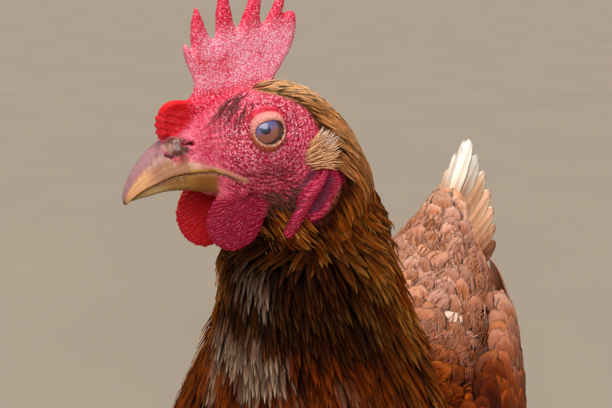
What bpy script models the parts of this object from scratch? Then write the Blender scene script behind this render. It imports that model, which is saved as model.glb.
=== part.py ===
"""A life-size brown laying hen, standing, with her head raised and turned to her right.

Metres, +Z up. The hen faces -Y and her left side is +X. The outlines are those of the plumage:
each solid reaches the tips of the feathers that lie on it. Every part of the body is its own
closed solid, and parts that meet keep a gap of 0.3 mm.
"""

import math
from dataclasses import dataclass

import bmesh
import bpy
import numpy as np
from mathutils import Matrix, Vector

# ---------------------------------------------------------------- driving dimensions
MM = 0.001
GAP = 0.3 * MM  # between parts that meet
CLEAR = 0.6 * MM  # how far a cutter stands proud of the part that it clears
AROUND = 24  # points round a section of the body
STEPS = 2  # rings from one section of the body to the next

EYE_HEIGHT = 375 * MM
HEAD_YAW = 43.0  # degrees, turned towards the hen's right
HEAD_PITCH = 5.0  # degrees, bill down
NECK_FORWARD = 74 * MM  # the neck's axis stands this far ahead of the feet
EYE_RADIUS = 7.4 * MM
FEET_Y = 6 * MM


@dataclass(frozen=True)
class Frame:
    """A place and a heading, in which a part's own sizes are given as forward, up and left."""

    origin: Vector
    yaw: float = 0.0
    pitch: float = 0.0

    def matrix(self):
        forward = Vector((0, -1, 0))
        turn = Matrix.Rotation(math.radians(-self.yaw), 3, "Z")
        nod = Matrix.Rotation(math.radians(self.pitch), 3, "X")
        columns = [turn @ (nod @ v) for v in (forward, Vector((1, 0, 0)), Vector((0, 0, 1)))]
        return Matrix.Translation(self.origin) @ Matrix(columns).transposed().to_4x4()

    def point(self, forward, up, left=0.0):
        """A point from millimetres forward, up and left."""
        return self.matrix() @ (Vector((forward, left, up)) * MM)


BODY = Frame(Vector((0, 0, 0)))
HEAD = Frame(Vector((-10 * MM, -97 * MM, EYE_HEIGHT)), HEAD_YAW, HEAD_PITCH)


def neck_frame(yaw):
    """The neck turns about an upright axis, so its sizes are given from that axis."""
    return Frame(Vector((0, -NECK_FORWARD, 0)), yaw)


@dataclass(frozen=True)
class Section:
    """One slice of the body, from its point on the back to its point on the belly."""

    frame: Frame
    back: tuple  # forward, up
    belly: tuple  # forward, up
    half_width: float
    square: float = 2.0  # 2 is an ellipse, more is boxier
    keel: float = 0.0  # above 0 the slice is wider at the back than at the belly


# Sizes in millimetres. The trunk runs from the fluff under the tail forward to the breast.
TRUNK = [
    Section(BODY, (-171, 297), (-167, 285), 4.5),
    Section(BODY, (-160, 294), (-156, 255), 13),
    Section(BODY, (-145, 289), (-146, 214), 25),
    Section(BODY, (-121, 282), (-119, 167), 40, 2.1),
    Section(BODY, (-88, 275), (-84, 134), 53, 2.2),
    Section(BODY, (-48, 268), (-42, 121), 60, 2.3, 0.03),
    Section(BODY, (-8, 266), (-2, 114), 64, 2.3, 0.05),
    Section(BODY, (22, 269), (38, 116), 65, 2.2, 0.07),
    Section(BODY, (35, 276), (80, 131), 64.5, 2.1, 0.06),
    Section(BODY, (41, 287), (108, 164), 62, 2.0, 0.04),
    Section(BODY, (45, 299), (120, 206), 55, 2.0, 0.02),
]
NECK = [
    Section(neck_frame(6), (-27, 313), (41, 248), 43.5),
    Section(neck_frame(14), (-26, 322), (35, 281), 36.5),
    Section(neck_frame(23), (-24.5, 334), (30.5, 308), 31.5),
    Section(neck_frame(33), (-22.5, 347), (26.5, 330), 29.5),
]
HEAD_SECTIONS = [
    Section(HEAD, (-39.5, -18.5), (1, -40.5), 24.8),
    Section(HEAD, (-34.2, -5), (5, -34), 20.4),
    Section(HEAD, (-26, 4.5), (8, -29), 17),
    Section(HEAD, (-17.5, 10.5), (10, -26), 16.4, 2.1, -0.04),
    Section(HEAD, (-7.5, 13.2), (12, -24), 16.0, 2.2, -0.06),
    Section(HEAD, (3, 12.5), (14.5, -22.6), 14.4, 2.2, -0.10),
    Section(HEAD, (13, 9.5), (18, -20.6), 11.6, 2.2, -0.12),
    Section(HEAD, (22, 5.2), (22, -18.8), 9.0, 2.2, -0.12),
    Section(HEAD, (28, 1.6), (26, -17.4), 7.2, 2.1, -0.08),
]
SECTIONS = TRUNK + NECK + HEAD_SECTIONS
# The body is parted at these sections.
NECK_ROOT = len(TRUNK) - 1
NECK_MIDDLE = NECK_ROOT + 2
NAPE = len(TRUNK) + len(NECK) - 1


# ---------------------------------------------------------------- materials
MATERIALS = {
    "plumage": ((0.32, 0.11, 0.035), 0.75),
    "pale_feather": ((0.72, 0.62, 0.48), 0.75),
    "red_skin": ((0.62, 0.03, 0.05), 0.45),
    "horn": ((0.55, 0.38, 0.20), 0.35),
    "eye": ((0.45, 0.18, 0.05), 0.08),
    "leg_scale": ((0.72, 0.55, 0.26), 0.5),
    "claw": ((0.45, 0.38, 0.28), 0.4),
}


def material(slot):
    """The Principled BSDF material of that name."""
    found = bpy.data.materials.get(slot)
    if found:
        return found
    colour, roughness = MATERIALS[slot]
    made = bpy.data.materials.new(slot)
    made.use_nodes = True
    shader = made.node_tree.nodes["Principled BSDF"]
    shader.inputs["Base Color"].default_value = (*colour, 1)
    shader.inputs["Roughness"].default_value = roughness
    shader.inputs["Metallic"].default_value = 0.0
    return made


# ---------------------------------------------------------------- mesh helpers
def add_object(name, mesh, slot=None, parent=None):
    """Links a new object. With no slot it is a cutter, which is not part of the hen."""
    obj = bpy.data.objects.new(name, mesh)
    bpy.context.scene.collection.objects.link(obj)
    obj.parent = parent
    if slot:
        mesh.materials.append(material(slot))
        mesh.shade_smooth()
        mesh.set_sharp_from_angle(angle=math.radians(50))
    else:
        obj.hide_render = True
        obj.display_type = "WIRE"
    return obj


def loft(name, rings, slot=None, parent=None, folded=False):
    """A closed solid over rings of points, all with the same count and in order.

    A folded ring runs out along one face and back along the other, so its ends are strips.
    """
    mesh = bpy.data.meshes.new(name)
    bm = bmesh.new()
    rows = [[bm.verts.new(p) for p in ring] for ring in rings]
    count = len(rows[0])
    for low, high in zip(rows, rows[1:]):
        for k in range(count):
            n = (k + 1) % count
            bm.faces.new((low[k], low[n], high[n], high[k]))
    for row in (rows[0], rows[-1]):
        if folded:
            for k in range(count // 2 - 1):
                bm.faces.new((row[k], row[k + 1], row[-2 - k], row[-1 - k]))
        else:
            bm.faces.new(row)
    bmesh.ops.recalc_face_normals(bm, faces=bm.faces)
    bm.to_mesh(mesh)
    bm.free()
    return add_object(name, mesh, slot, parent)


def cut(obj, cutter):
    """Takes the cutter out of the object."""
    modifier = obj.modifiers.new("clear_" + cutter.name, "BOOLEAN")
    modifier.operation = "DIFFERENCE"
    modifier.solver = "EXACT"
    modifier.object = cutter


def mirrored(rings, side):
    """The rings of the hen's left side as they are, or turned over for her right side."""
    return [[Vector((p[0] * side, p[1], p[2])) for p in ring] for ring in rings]


def smooth_rows(rows, steps):
    """Rows of points with more rows between them, on smooth curves through the given ones."""
    rows = np.array(rows, float)
    stride = np.linalg.norm(np.diff(rows, axis=0), axis=2).mean(axis=1)
    at = np.concatenate([[0], np.cumsum(stride)])
    slope = np.gradient(rows, at, axis=0)
    found = []
    for i, width in enumerate(stride):
        for step in range(steps):
            t = step / steps
            start = (1 + 2 * t) * (1 - t) ** 2 * rows[i] + t * (1 - t) ** 2 * width * slope[i]
            end = t * t * (3 - 2 * t) * rows[i + 1] - t * t * (1 - t) * width * slope[i + 1]
            found.append(start + end)
    return [*found, rows[-1]]


def oval(centre, long_axis, short_axis, count, square=2.0, keel=0.0):
    """Points round a closed oval, starting at the tip of its long axis."""
    points = []
    for k in range(count):
        a = 2 * math.pi * k / count
        c, s = (math.copysign(abs(v) ** (2 / square), v) for v in (math.cos(a), math.sin(a)))
        points.append(centre + long_axis * c + short_axis * s * (1 + keel * c))
    return points


# ---------------------------------------------------------------- trunk, neck and head
def section_ring(section, grow=0.0):
    """The outline of one slice of the body, standing out by grow."""
    back = section.frame.point(*section.back)
    belly = section.frame.point(*section.belly)
    tall = (back - belly) / 2
    side = section.frame.matrix().to_3x3() @ Vector((0, 1, 0))
    return oval(
        (back + belly) / 2,
        tall * (1 + grow / tall.length),
        side * (section.half_width * MM + grow),
        AROUND,
        section.square,
        section.keel,
    )


def body_rings(grow=0.0):
    return smooth_rows([section_ring(s, grow) for s in SECTIONS], STEPS)


def part_of_body(name, rings, first, last, slot):
    """The lengths of the body from one section to another, drawn back by half a gap at each cut."""
    rows = [np.array(r) for r in rings[first * STEPS : last * STEPS + 1]]
    for end, inner in ((0, 1), (-1, -2)):
        if (first, last)[end] in (NECK_ROOT, NECK_MIDDLE, NAPE):
            inward = (rows[inner] - rows[end]).mean(axis=0)
            centred = rows[end] - rows[end].mean(axis=0)
            normal = np.cross(centred[0], centred[AROUND // 4])
            normal *= math.copysign(1, normal @ inward) / np.linalg.norm(normal)
            rows[end] = rows[end] + normal * GAP / 2
    return loft(name, rows, slot)


def make_body():
    """Trunk, neck in two lengths, and head: one smooth form, parted by thin cuts."""
    rings = body_rings()
    part_of_body("trunk", rings, 0, NECK_ROOT, "plumage")
    part_of_body("neck_lower", rings, NECK_ROOT, NECK_MIDDLE, "plumage")
    part_of_body("neck_upper", rings, NECK_MIDDLE, NAPE, "plumage")
    return part_of_body("head", rings, NAPE, len(SECTIONS) - 1, "red_skin")


# ---------------------------------------------------------------- eyes and bill
EYE_PLACE = (0.4, 0.0, 9.5)  # forward, up and left of the point between the eyes
EYE_SEGMENTS, EYE_RINGS = 16, 8
BILL_AROUND = 14


def ball(name, radius, place, slot, parent):
    mesh = bpy.data.meshes.new(name)
    bm = bmesh.new()
    bmesh.ops.create_uvsphere(
        bm, u_segments=EYE_SEGMENTS, v_segments=EYE_RINGS, radius=radius
    )
    bm.to_mesh(mesh)
    bm.free()
    obj = add_object(name, mesh, slot, parent)
    obj.location = place
    return obj


def head_point(forward, up, left=0.0):
    """A point in the head's own frame, for what is parented to the head's empty."""
    return Vector((forward, left, up)) * MM


def make_eyes(head, head_frame):
    for name, side in (("left", 1), ("right", -1)):
        forward, up, left = EYE_PLACE
        place = head_point(forward, up, left * side)
        ball(f"eye_{name}", EYE_RADIUS, place, "eye", head_frame)
        cut(head, ball(f"socket_{name}", EYE_RADIUS + GAP, place, None, head_frame))


# From the face to the tip: ridge point, mouth point (forward, up) and half width.
UPPER_BILL = [
    ((28.4, 1.4), (26.9, -12.3), 7.0),
    ((32.6, -0.6), (30.9, -12.8), 6.4),
    ((37.2, -3.8), (35.4, -13.9), 5.5),
    ((41.3, -7.9), (39.6, -15.4), 4.3),
    ((44.3, -12.1), (42.8, -16.9), 3.0),
    ((46.0, -15.9), (44.9, -18.3), 1.5),
    ((46.1, -18.2), (45.5, -19.0), 0.4),
]
LOWER_BILL = [
    ((26.6, -12.7), (26.2, -17.4), 6.2),
    ((30.3, -13.2), (30.0, -17.5), 5.6),
    ((34.6, -14.3), (34.4, -17.9), 4.6),
    ((38.6, -15.8), (38.6, -18.5), 3.4),
    ((42.6, -17.6), (42.8, -19.1), 1.6),
]


def make_bill(name, profile, square, keel, slot, parent, grow=0.0):
    """Half of the bill: ovals from the ridge or chin to the line of the mouth."""
    rings = []
    for ridge, mouth, half_width in profile:
        top, bottom = head_point(*ridge), head_point(*mouth)
        tall = (top - bottom) / 2
        rings.append(
            oval(
                (top + bottom) / 2,
                tall * (1 + grow / tall.length),
                Vector((0, half_width * MM + grow, 0)),
                BILL_AROUND,
                square,
                keel,
            )
        )
    return loft(name, rings, slot, parent)


# ---------------------------------------------------------------- comb, wattles, lobes, ear tufts
COMB_HALF_THICKNESS = 1.9  # mm, at the flat of the blade
COMB_EDGE = 1.2  # mm, radius of the rounded rim
# The comb's rim from the bill back over the crown: (forward, up), and whether it is pointed.
COMB_RIM = [
    (30.5, -3.0, 0),
    (32.6, 3.0, 0),
    (31.6, 9.6, 0),
    (27.6, 12.4, 0),
    (22.0, 11.6, 0),
    (18.8, 14.2, 0),
    (18.9, 19.0, 0),
    (20.8, 24.5, 0),
    (20.2, 28.9, 1),
    (18.0, 24.9, 1),
    (17.6, 31.0, 0),
    (15.3, 39.6, 1),
    (13.4, 35.2, 0),
    (10.4, 27.6, 1),
    (9.0, 36.0, 0),
    (5.6, 44.8, 1),
    (4.0, 38.6, 0),
    (2.6, 30.4, 1),
    (-1.6, 37.6, 0),
    (-6.6, 46.2, 1),
    (-6.6, 39.0, 0),
    (-5.6, 30.8, 1),
    (-9.6, 35.6, 0),
    (-14.8, 42.2, 1),
    (-14.6, 37.6, 0),
    (-13.4, 33.8, 1),
    (-17.4, 35.0, 0),
    (-17.9, 30.0, 0),
    (-15.0, 22.4, 0),
    (-9.4, 15.2, 0),
    (-4.0, 8.0, 0),
    (14.0, 4.0, 0),
]
COMB_LEAN = 0.0  # sideways lean to the hen's left for each mm above the crown
COMB_CROWN = 12.0  # mm above the eyes, where the lean starts
LOBE_LEAN = 3.2  # mm that the front lobe bulges to the left


def blade(name, rim, half_thickness, edge, slot, parent, place=None):
    """A flat lobe of skin: a filled outline with a rounded rim, as a mesh."""
    curve = bpy.data.curves.new(name, "CURVE")
    curve.dimensions = "2D"
    curve.fill_mode = "BOTH"
    curve.extrude = (half_thickness - edge) * MM
    curve.bevel_depth = edge * MM
    curve.bevel_resolution = 0
    curve.offset = -edge * MM
    curve.resolution_u = 2
    spline = curve.splines.new("BEZIER")
    spline.bezier_points.add(len(rim) - 1)
    spline.use_cyclic_u = True
    count = len(rim)
    for k, (forward, up, pointed) in enumerate(rim):
        point = spline.bezier_points[k]
        point.co = Vector((forward, up, 0)) * MM
        before, after = rim[k - 1], rim[(k + 1) % count]
        along = Vector((after[0] - before[0], after[1] - before[1], 0)).normalized()
        reach = 0.12 if pointed else 0.30
        for handle, other, sign in (("handle_left", before, -1), ("handle_right", after, 1)):
            gap = math.dist((forward, up), other[:2])
            setattr(point, handle, point.co + along * sign * gap * reach * MM)
    flat = bpy.data.objects.new(name + "_flat", curve)
    mesh = bpy.data.meshes.new_from_object(flat)
    bpy.data.objects.remove(flat)
    mesh.materials.clear()
    # The curve lies in its own XY plane: its x is forward and its y is up.
    mesh.transform(Matrix(((1, 0, 0, 0), (0, 0, -1, 0), (0, 1, 0, 0), (0, 0, 0, 1))))
    bm = bmesh.new()
    bm.from_mesh(mesh)
    bmesh.ops.remove_doubles(bm, verts=bm.verts, dist=0.02 * MM)
    bmesh.ops.recalc_face_normals(bm, faces=bm.faces)
    bm.to_mesh(mesh)
    bm.free()
    if place:
        mesh.transform(place)
    return add_object(name, mesh, slot, parent)


def make_comb(head_frame):
    comb = blade("comb", COMB_RIM, COMB_HALF_THICKNESS, COMB_EDGE, "red_skin", head_frame)
    for vertex in comb.data.vertices:
        forward, _, up = vertex.co / MM
        lean = COMB_LEAN * max(0.0, up - COMB_CROWN)
        front = max(0.0, 1 - ((forward - 27) / 8) ** 2) * max(0.0, min(1.0, up / 8))
        vertex.co.y += (lean + LOBE_LEAN * front) * MM
    return comb


# Forward, up and left of the middle; half lengths forward and down; degrees of swing.
WATTLES = {
    "left": ((12.4, -27.4, 8.8), (10.6, 12.4), -4, 8),
    "right": ((17.6, -29.0, -9.6), (10.0, 12.6), -6, 10),
}
WATTLE_THICKNESS = 1.5  # mm, half
LOBES = {"left": 1, "right": -1}
LOBE_PLACE = (-12.0, -25.2, 18.8)
LOBE_SIZE = (7.6, 14.0, 2.8)  # half sizes across, along and through, mm
LOBE_SWING = 36.0  # degrees from upright, lower end forward
TUFT_PLACE = (-16.4, -10.8, 16.4)
TUFT_SIZE = (7.2, 8.0, 3.4)


def pad(name, place, size, tilt, narrow, slot, parent):
    """A flat oval of flesh, narrower at its top. tilt is (swing, lean) in degrees."""
    mesh = bpy.data.meshes.new(name)
    bm = bmesh.new()
    bmesh.ops.create_uvsphere(bm, u_segments=14, v_segments=9, radius=1.0)
    for vertex in bm.verts:
        taper = 1 - narrow * max(0.0, vertex.co.z)
        across, through, along = vertex.co
        vertex.co = Vector((across * size[0] * taper, through * size[2], along * size[1])) * MM
    bm.to_mesh(mesh)
    bm.free()
    swing, lean = (math.radians(a) for a in tilt)
    mesh.transform(Matrix.Rotation(lean, 4, "X") @ Matrix.Rotation(swing, 4, "Y"))
    obj = add_object(name, mesh, slot, parent)
    obj.location = head_point(*place)
    return obj


def make_face_lobes(head_frame, clear_head):
    for name, (place, half, swing, lean) in WATTLES.items():
        side = 1 if name == "left" else -1
        forward, up, left = place
        wattle = pad(
            f"wattle_{name}",
            (forward, up, left),
            (half[0], half[1], WATTLE_THICKNESS),
            (swing, -side * lean),
            0.22,
            "red_skin",
            head_frame,
        )
        cut(wattle, clear_head)
    for name, side in LOBES.items():
        forward, up, left = LOBE_PLACE
        lobe = pad(
            f"earlobe_{name}",
            (forward, up, left * side),
            LOBE_SIZE,
            (-LOBE_SWING, side * 12),
            0.25,
            "red_skin",
            head_frame,
        )
        cut(lobe, clear_head)
        forward, up, left = TUFT_PLACE
        tuft = pad(
            f"ear_{name}",
            (forward, up, left * side),
            TUFT_SIZE,
            (0, 0),
            0.0,
            "pale_feather",
            head_frame,
        )
        cut(tuft, clear_head)
        cut(tuft, bpy.data.objects[f"earlobe_clear_{name}"])


# ---------------------------------------------------------------- wings
# From the shoulder to the tip: back from the feet, middle height, distance out, half height, half
# thickness. All in millimetres.
WING = [
    (-84, 226, 50, 10, 5),
    (-76, 224, 54, 26, 10),
    (-56, 220, 58.5, 38, 12.5),
    (-26, 217, 61, 43, 12.5),
    (12, 218, 60.5, 43, 12.5),
    (48, 222, 56, 39, 12),
    (80, 229, 50, 32, 10.5),
    (108, 238, 42, 24, 8),
    (132, 247, 34, 16, 6),
    (150, 253, 27, 8, 3.5),
    (158, 255, 24, 2.5, 1.6),
]
WING_AROUND = 16
WING_SPLIT = 7  # the section where the long flight feathers pass the others


def make_wings(clear_body, clear_tail):
    rings = []
    for back, height, out, half_height, half_thickness in WING:
        centre = Vector((out, back, height)) * MM
        lean = math.radians(6)
        tall = Vector((-math.sin(lean), 0, math.cos(lean))) * half_height * MM
        wide = Vector((math.cos(lean), 0, math.sin(lean))) * half_thickness * MM
        rings.append(oval(centre, tall, wide, WING_AROUND, 2.2))
    rows = rings
    split = WING_SPLIT
    for name, side in (("left", 1), ("right", -1)):
        near = [np.array(r) for r in rows[: split + 1]]
        far = [np.array(r) for r in rows[split:]]
        near[-1] = near[-1] - np.array((0, GAP / 2, 0))
        far[0] = far[0] + np.array((0, GAP / 2, 0))
        for part, lengths in (("wing", near), ("wing_tip", far)):
            made = loft(f"{part}_{name}", mirrored(lengths, side), "plumage")
            cut(made, clear_body)
            if part == "wing_tip":
                cut(made, clear_tail)


# ---------------------------------------------------------------- tail
TAIL_ROOT = (104, 262)  # back and up from the feet, mm
TAIL_RISE = 30.0  # degrees above level
TAIL_LENGTH = 122.0  # mm, the top pair of feathers
TAIL_SHORTER = 34.0  # mm that the lowest feather is shorter
TAIL_FAN = 30.0  # degrees from the top pair to the lowest
TAIL_TENT = 23.0  # degrees that each half stands out from upright
TAIL_ROOT_HALF = 26.0  # mm of the root's depth in each half
TAIL_THICKNESS = 4.2  # mm, the pile of feathers
TAIL_FEATHERS = 7  # in each half
TAIL_ROWS = 6
TAIL_COLUMNS = 22


def tail_point(along, across, depth, margin=0.0):
    """along is 0 at the root and 1 at the tips; across is -1 to 1 from right to left."""
    side, share = math.copysign(1, across), abs(across)
    rise, tent = math.radians(TAIL_RISE), math.radians(TAIL_TENT)
    axis = Vector((0, math.cos(rise), math.sin(rise)))
    up = Vector((0, -math.sin(rise), math.cos(rise)))
    down = -up * math.cos(tent) + Vector((side, 0, 0)) * math.sin(tent)
    out = up * math.sin(tent) + Vector((side, 0, 0)) * math.cos(tent)
    fan = math.radians(TAIL_FAN) * share
    scallop = 3.0 * abs(math.sin(math.pi * share * TAIL_FEATHERS))
    length = (TAIL_LENGTH - TAIL_SHORTER * share**1.4 - scallop + margin) * along
    ridge = 3.0 * (1 - min(1.0, share * 4)) ** 2  # rounds the ridge of the tent
    root = Vector((0, TAIL_ROOT[0], TAIL_ROOT[1]))
    reach = axis * math.cos(fan) + down * math.sin(fan)
    bow = out * 3.5 * math.sin(math.pi * share) * along
    place = root + down * (TAIL_ROOT_HALF * share) + reach * length + bow
    thick = (TAIL_THICKNESS * (1.15 - 0.75 * along) + 2 * margin) / math.sin(tent)
    return (place - up * (ridge + thick * depth) + out * margin) * MM


def tail_rings(margin=0.0):
    acrosses = [2 * k / (TAIL_COLUMNS - 1) - 1 for k in range(TAIL_COLUMNS)]
    rings = []
    for row in range(TAIL_ROWS):
        along = row / (TAIL_ROWS - 1)
        outer = [tail_point(along, a * (1 + margin * 0.02), 0, margin) for a in acrosses]
        inner = [tail_point(along, a * 0.8, 1, margin) for a in reversed(acrosses)]
        rings.append(outer + inner)
    return rings


def make_tail(clear_body):
    tail = loft("tail", tail_rings(), "plumage", folded=True)
    cut(tail, clear_body)
    return tail


# ---------------------------------------------------------------- legs
# Out from the middle, back from the feet, height, half width, half depth fore and aft: mm.
THIGH = [
    (36, -6, 172, 25, 46),
    (38, -2, 148, 25, 42),
    (39.5, 4, 127, 19, 30),
    (40, 10, 110, 12.5, 18),
    (40, 14, 98, 8.0, 9.5),
]
SHANK = [
    (40, 14.5, 97.2, 6.6, 7.2),
    (40, 14, 90, 6.4, 7.4),
    (40, 11, 76, 4.6, 5.6),
    (40, 7, 54, 4.3, 5.2),
    (40, 2, 32, 4.6, 5.6),
    (40, -1, 17, 6.2, 7.4),
    (40, -3, 9.5, 9.6, 11.0),
    (40, -4, 5, 12.4, 13.8),
    (40, -4, 1.5, 12.8, 14.2),
    (40, -4, 0, 11.4, 12.8),
]
LEG_AROUND = 12
# Heading from straight ahead towards the hen's own side, length and half width: degrees, mm.
TOES = {
    "inner": (-38, 34, 4.2),
    "middle": (2, 48, 4.5),
    "outer": (42, 38, 4.1),
    "back": (-158, 18, 3.7),
}
TOE_AROUND = 10
TOE_START = 5.0  # mm from the middle of the foot, inside the pad that is cut away
TOE_JOINTS = {"inner": 2, "middle": 3, "outer": 4, "back": 1}
CLAW_LENGTH = {"inner": 13.0, "middle": 15.0, "outer": 12.0, "back": 12.0}


def on_floor(ring):
    """The points of a ring, with those below the floor laid on it."""
    return [Vector((p[0], p[1], max(p[2], 0.0))) for p in ring]


def leg_rings(table):
    return [
        oval(
            Vector((out, back + FEET_Y / MM, height)) * MM,
            Vector((0, -deep, 0)) * MM,
            Vector((wide, 0, 0)) * MM,
            LEG_AROUND,
        )
        for out, back, height, wide, deep in table
    ]


def toe_rings(toe, heading):
    """A toe that lies on the floor, swelling at each joint, and the path of its claw."""
    _, length, half = TOES[toe]
    foot = Vector((SHANK[-1][0], SHANK[-1][1] + FEET_Y / MM, 0)) * MM
    ahead = Vector((math.sin(heading), -math.cos(heading), 0))
    beside = Vector((math.cos(heading), math.sin(heading), 0))
    rings = []
    rows = 2 * TOE_JOINTS[toe] + 2
    for row in range(rows + 1):
        share = row / rows
        swell = 0.07 * math.cos(2 * math.pi * share * TOE_JOINTS[toe] + math.pi)
        radius = half * (1.08 - 0.33 * share) * (1 + swell) * MM
        centre = foot + ahead * (TOE_START + (length + 9 - TOE_START) * share) * MM
        centre.z = radius * 0.86
        rings.append(on_floor(oval(centre, Vector((0, 0, radius)), beside * radius, TOE_AROUND)))
    return rings


def claw_rings(toe, heading):
    """A curved claw, from the toe's end down to the floor."""
    _, length, half = TOES[toe]
    foot = Vector((SHANK[-1][0], SHANK[-1][1] + FEET_Y / MM, 0)) * MM
    ahead = Vector((math.sin(heading), -math.cos(heading), 0))
    beside = Vector((math.cos(heading), math.sin(heading), 0))
    start = foot + ahead * ((length + 9) * MM + GAP)
    claw = CLAW_LENGTH[toe] * MM
    root = half * 0.66 * MM
    rings = []
    rows = 5
    for row in range(rows + 1):
        share = row / rows
        radius = root * (1 - share) ** 0.75 + 0.3 * MM
        centre = start + ahead * claw * share
        centre.z = 2.9 * MM + 0.9 * MM * math.sin(math.pi * share) - 2.1 * MM * share**2
        rings.append(on_floor(oval(centre, Vector((0, 0, radius)), beside * radius * 0.8, 6)))
    return rings


def make_legs(clear_body):
    for name, side in (("left", 1), ("right", -1)):
        thigh = loft(f"thigh_{name}", mirrored(leg_rings(THIGH), side), "plumage")
        cut(thigh, clear_body)
        shank_rings = mirrored(leg_rings(SHANK), side)
        loft(f"shank_{name}", shank_rings, "leg_scale")
        grown = [[(p[0], p[1], p[2]) for p in ring] for ring in shank_rings]
        middle = np.array(grown).mean(axis=1, keepdims=True)
        spread = np.array(grown) - middle
        spread *= 1 + CLEAR / np.linalg.norm(spread, axis=2, keepdims=True)
        rows = list(middle + spread)
        rows[-1] = rows[-1] - np.array((0, 0, 2 * MM))
        clear_foot = loft(f"foot_clear_{name}", rows)
        for toe, (turn, _, _) in TOES.items():
            heading = math.radians(turn)
            made = loft(f"toe_{toe}_{name}", mirrored(toe_rings(toe, heading), side), "leg_scale")
            cut(made, clear_foot)
            loft(f"claw_{toe}_{name}", mirrored(claw_rings(toe, heading), side), "claw")


# ---------------------------------------------------------------- the whole hen
def centre_on_floor():
    """Moves the hen so that the middle of her box is over the origin, feet on the floor."""
    bpy.context.view_layer.update()
    graph = bpy.context.evaluated_depsgraph_get()
    low, high = Vector((1e9,) * 3), Vector((-1e9,) * 3)
    for obj in bpy.data.objects:
        if obj.type != "MESH" or obj.hide_render:
            continue
        evaluated = obj.evaluated_get(graph)
        for vertex in evaluated.data.vertices:
            place = evaluated.matrix_world @ vertex.co
            low = Vector(map(min, low, place))
            high = Vector(map(max, high, place))
    shift = Vector((-(low.x + high.x) / 2, -(low.y + high.y) / 2, -low.z))
    for obj in bpy.data.objects:
        if obj.parent is None:
            obj.location += shift


def main():
    for obj in list(bpy.data.objects):
        bpy.data.objects.remove(obj)
    head_frame = bpy.data.objects.new("head_frame", None)
    bpy.context.scene.collection.objects.link(head_frame)
    head_frame.matrix_world = HEAD.matrix()

    head = make_body()
    make_eyes(head, head_frame)
    clear_body = loft("body_clear", body_rings(CLEAR))
    clear_head = loft("head_clear", body_rings(CLEAR)[NAPE * STEPS - 8 :])
    # The head's cutter is in world places, and what it clears is parented to the head's empty.
    comb = make_comb(head_frame)
    clear_bill = make_bill("bill_clear", UPPER_BILL, 2.3, -0.25, None, head_frame, CLEAR)
    cut(comb, clear_head)
    cut(comb, clear_bill)
    for name, side in LOBES.items():
        forward, up, left = LOBE_PLACE
        pad(
            f"earlobe_clear_{name}",
            (forward, up, left * side),
            tuple(s + CLEAR / MM for s in LOBE_SIZE),
            (-LOBE_SWING, side * 12),
            0.25,
            None,
            head_frame,
        )
    make_face_lobes(head_frame, clear_head)
    make_bill("bill_upper", UPPER_BILL, 2.3, -0.25, "horn", head_frame)
    make_bill("bill_lower", LOWER_BILL, 2.2, 0.2, "horn", head_frame)
    make_tail(clear_body)
    clear_tail = loft("tail_clear", tail_rings(CLEAR / MM), folded=True)
    make_wings(clear_body, clear_tail)
    make_legs(clear_body)
    centre_on_floor()


main()
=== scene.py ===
"""A life-size still model of a brown laying hen: her skin, feathers, bill, eyes, scales and claws.

Sizes in the tables are millimetres, and meshes are in metres. The hen faces -Y, her left is +X.
"""

import logging
import math
from dataclasses import dataclass, field
from enum import Enum
from functools import partialmethod
from typing import Callable, Iterable, Sequence

import bmesh
import bpy
import numpy as np
from bpy.types import Material, Mesh, NodeTree, Object
from mathutils import Matrix, Vector


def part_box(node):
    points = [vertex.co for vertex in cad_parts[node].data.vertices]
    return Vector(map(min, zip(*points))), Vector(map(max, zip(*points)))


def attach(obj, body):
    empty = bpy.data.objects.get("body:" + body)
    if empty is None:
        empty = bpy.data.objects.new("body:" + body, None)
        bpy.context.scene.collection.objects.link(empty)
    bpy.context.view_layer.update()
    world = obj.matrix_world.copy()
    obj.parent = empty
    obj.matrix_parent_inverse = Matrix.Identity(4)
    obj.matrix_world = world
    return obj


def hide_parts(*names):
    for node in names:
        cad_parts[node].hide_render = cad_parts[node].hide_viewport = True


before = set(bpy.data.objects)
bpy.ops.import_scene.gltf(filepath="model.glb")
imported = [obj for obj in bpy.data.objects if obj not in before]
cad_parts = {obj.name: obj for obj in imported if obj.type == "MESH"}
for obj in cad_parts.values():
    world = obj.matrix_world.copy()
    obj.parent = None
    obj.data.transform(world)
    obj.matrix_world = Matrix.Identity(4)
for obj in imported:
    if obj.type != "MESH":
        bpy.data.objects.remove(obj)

log = logging.getLogger("hen")
MM = 0.001
SIDES = {1: "left", -1: "right"}
Array = np.ndarray
Pair = tuple[float, float]
Triple = tuple[float, float, float]


# ---- numbers
def unit(v: Array) -> Array:
    """Rows of vectors, each scaled to length 1."""
    return v / np.maximum(np.linalg.norm(v, axis=-1, keepdims=True), 1e-12)


def ease(x: Array, low: float, high: float) -> Array:
    """A smooth step: 0 up to low, 1 from high on, also with high below low.

    Args:
        x: the values.
        low: where the step starts.
        high: where it ends.

    Returns:
        Values from 0 to 1.
    """
    t = np.clip((np.asarray(x, float) - low) / (high - low), 0, 1)
    return t * t * (3 - 2 * t)


def lattice(cells: Array, seed: int) -> Array:
    """A fixed pseudo-random value from 0 to 1 for each whole-number cell.

    Args:
        cells: whole numbers, (..., 3).
        seed: which set of values.

    Returns:
        One value for each cell, (...).
    """
    c = cells.astype(np.int64)
    h = c[..., 0] * 73856093 ^ c[..., 1] * 19349663 ^ c[..., 2] * 83492791 ^ seed * 2654435761
    h = (h ^ (h >> 13)) * 1274126177 & 0xFFFFFFFF
    return ((h ^ (h >> 16)) & 0xFFFFFF) / float(0xFFFFFF)


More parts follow.
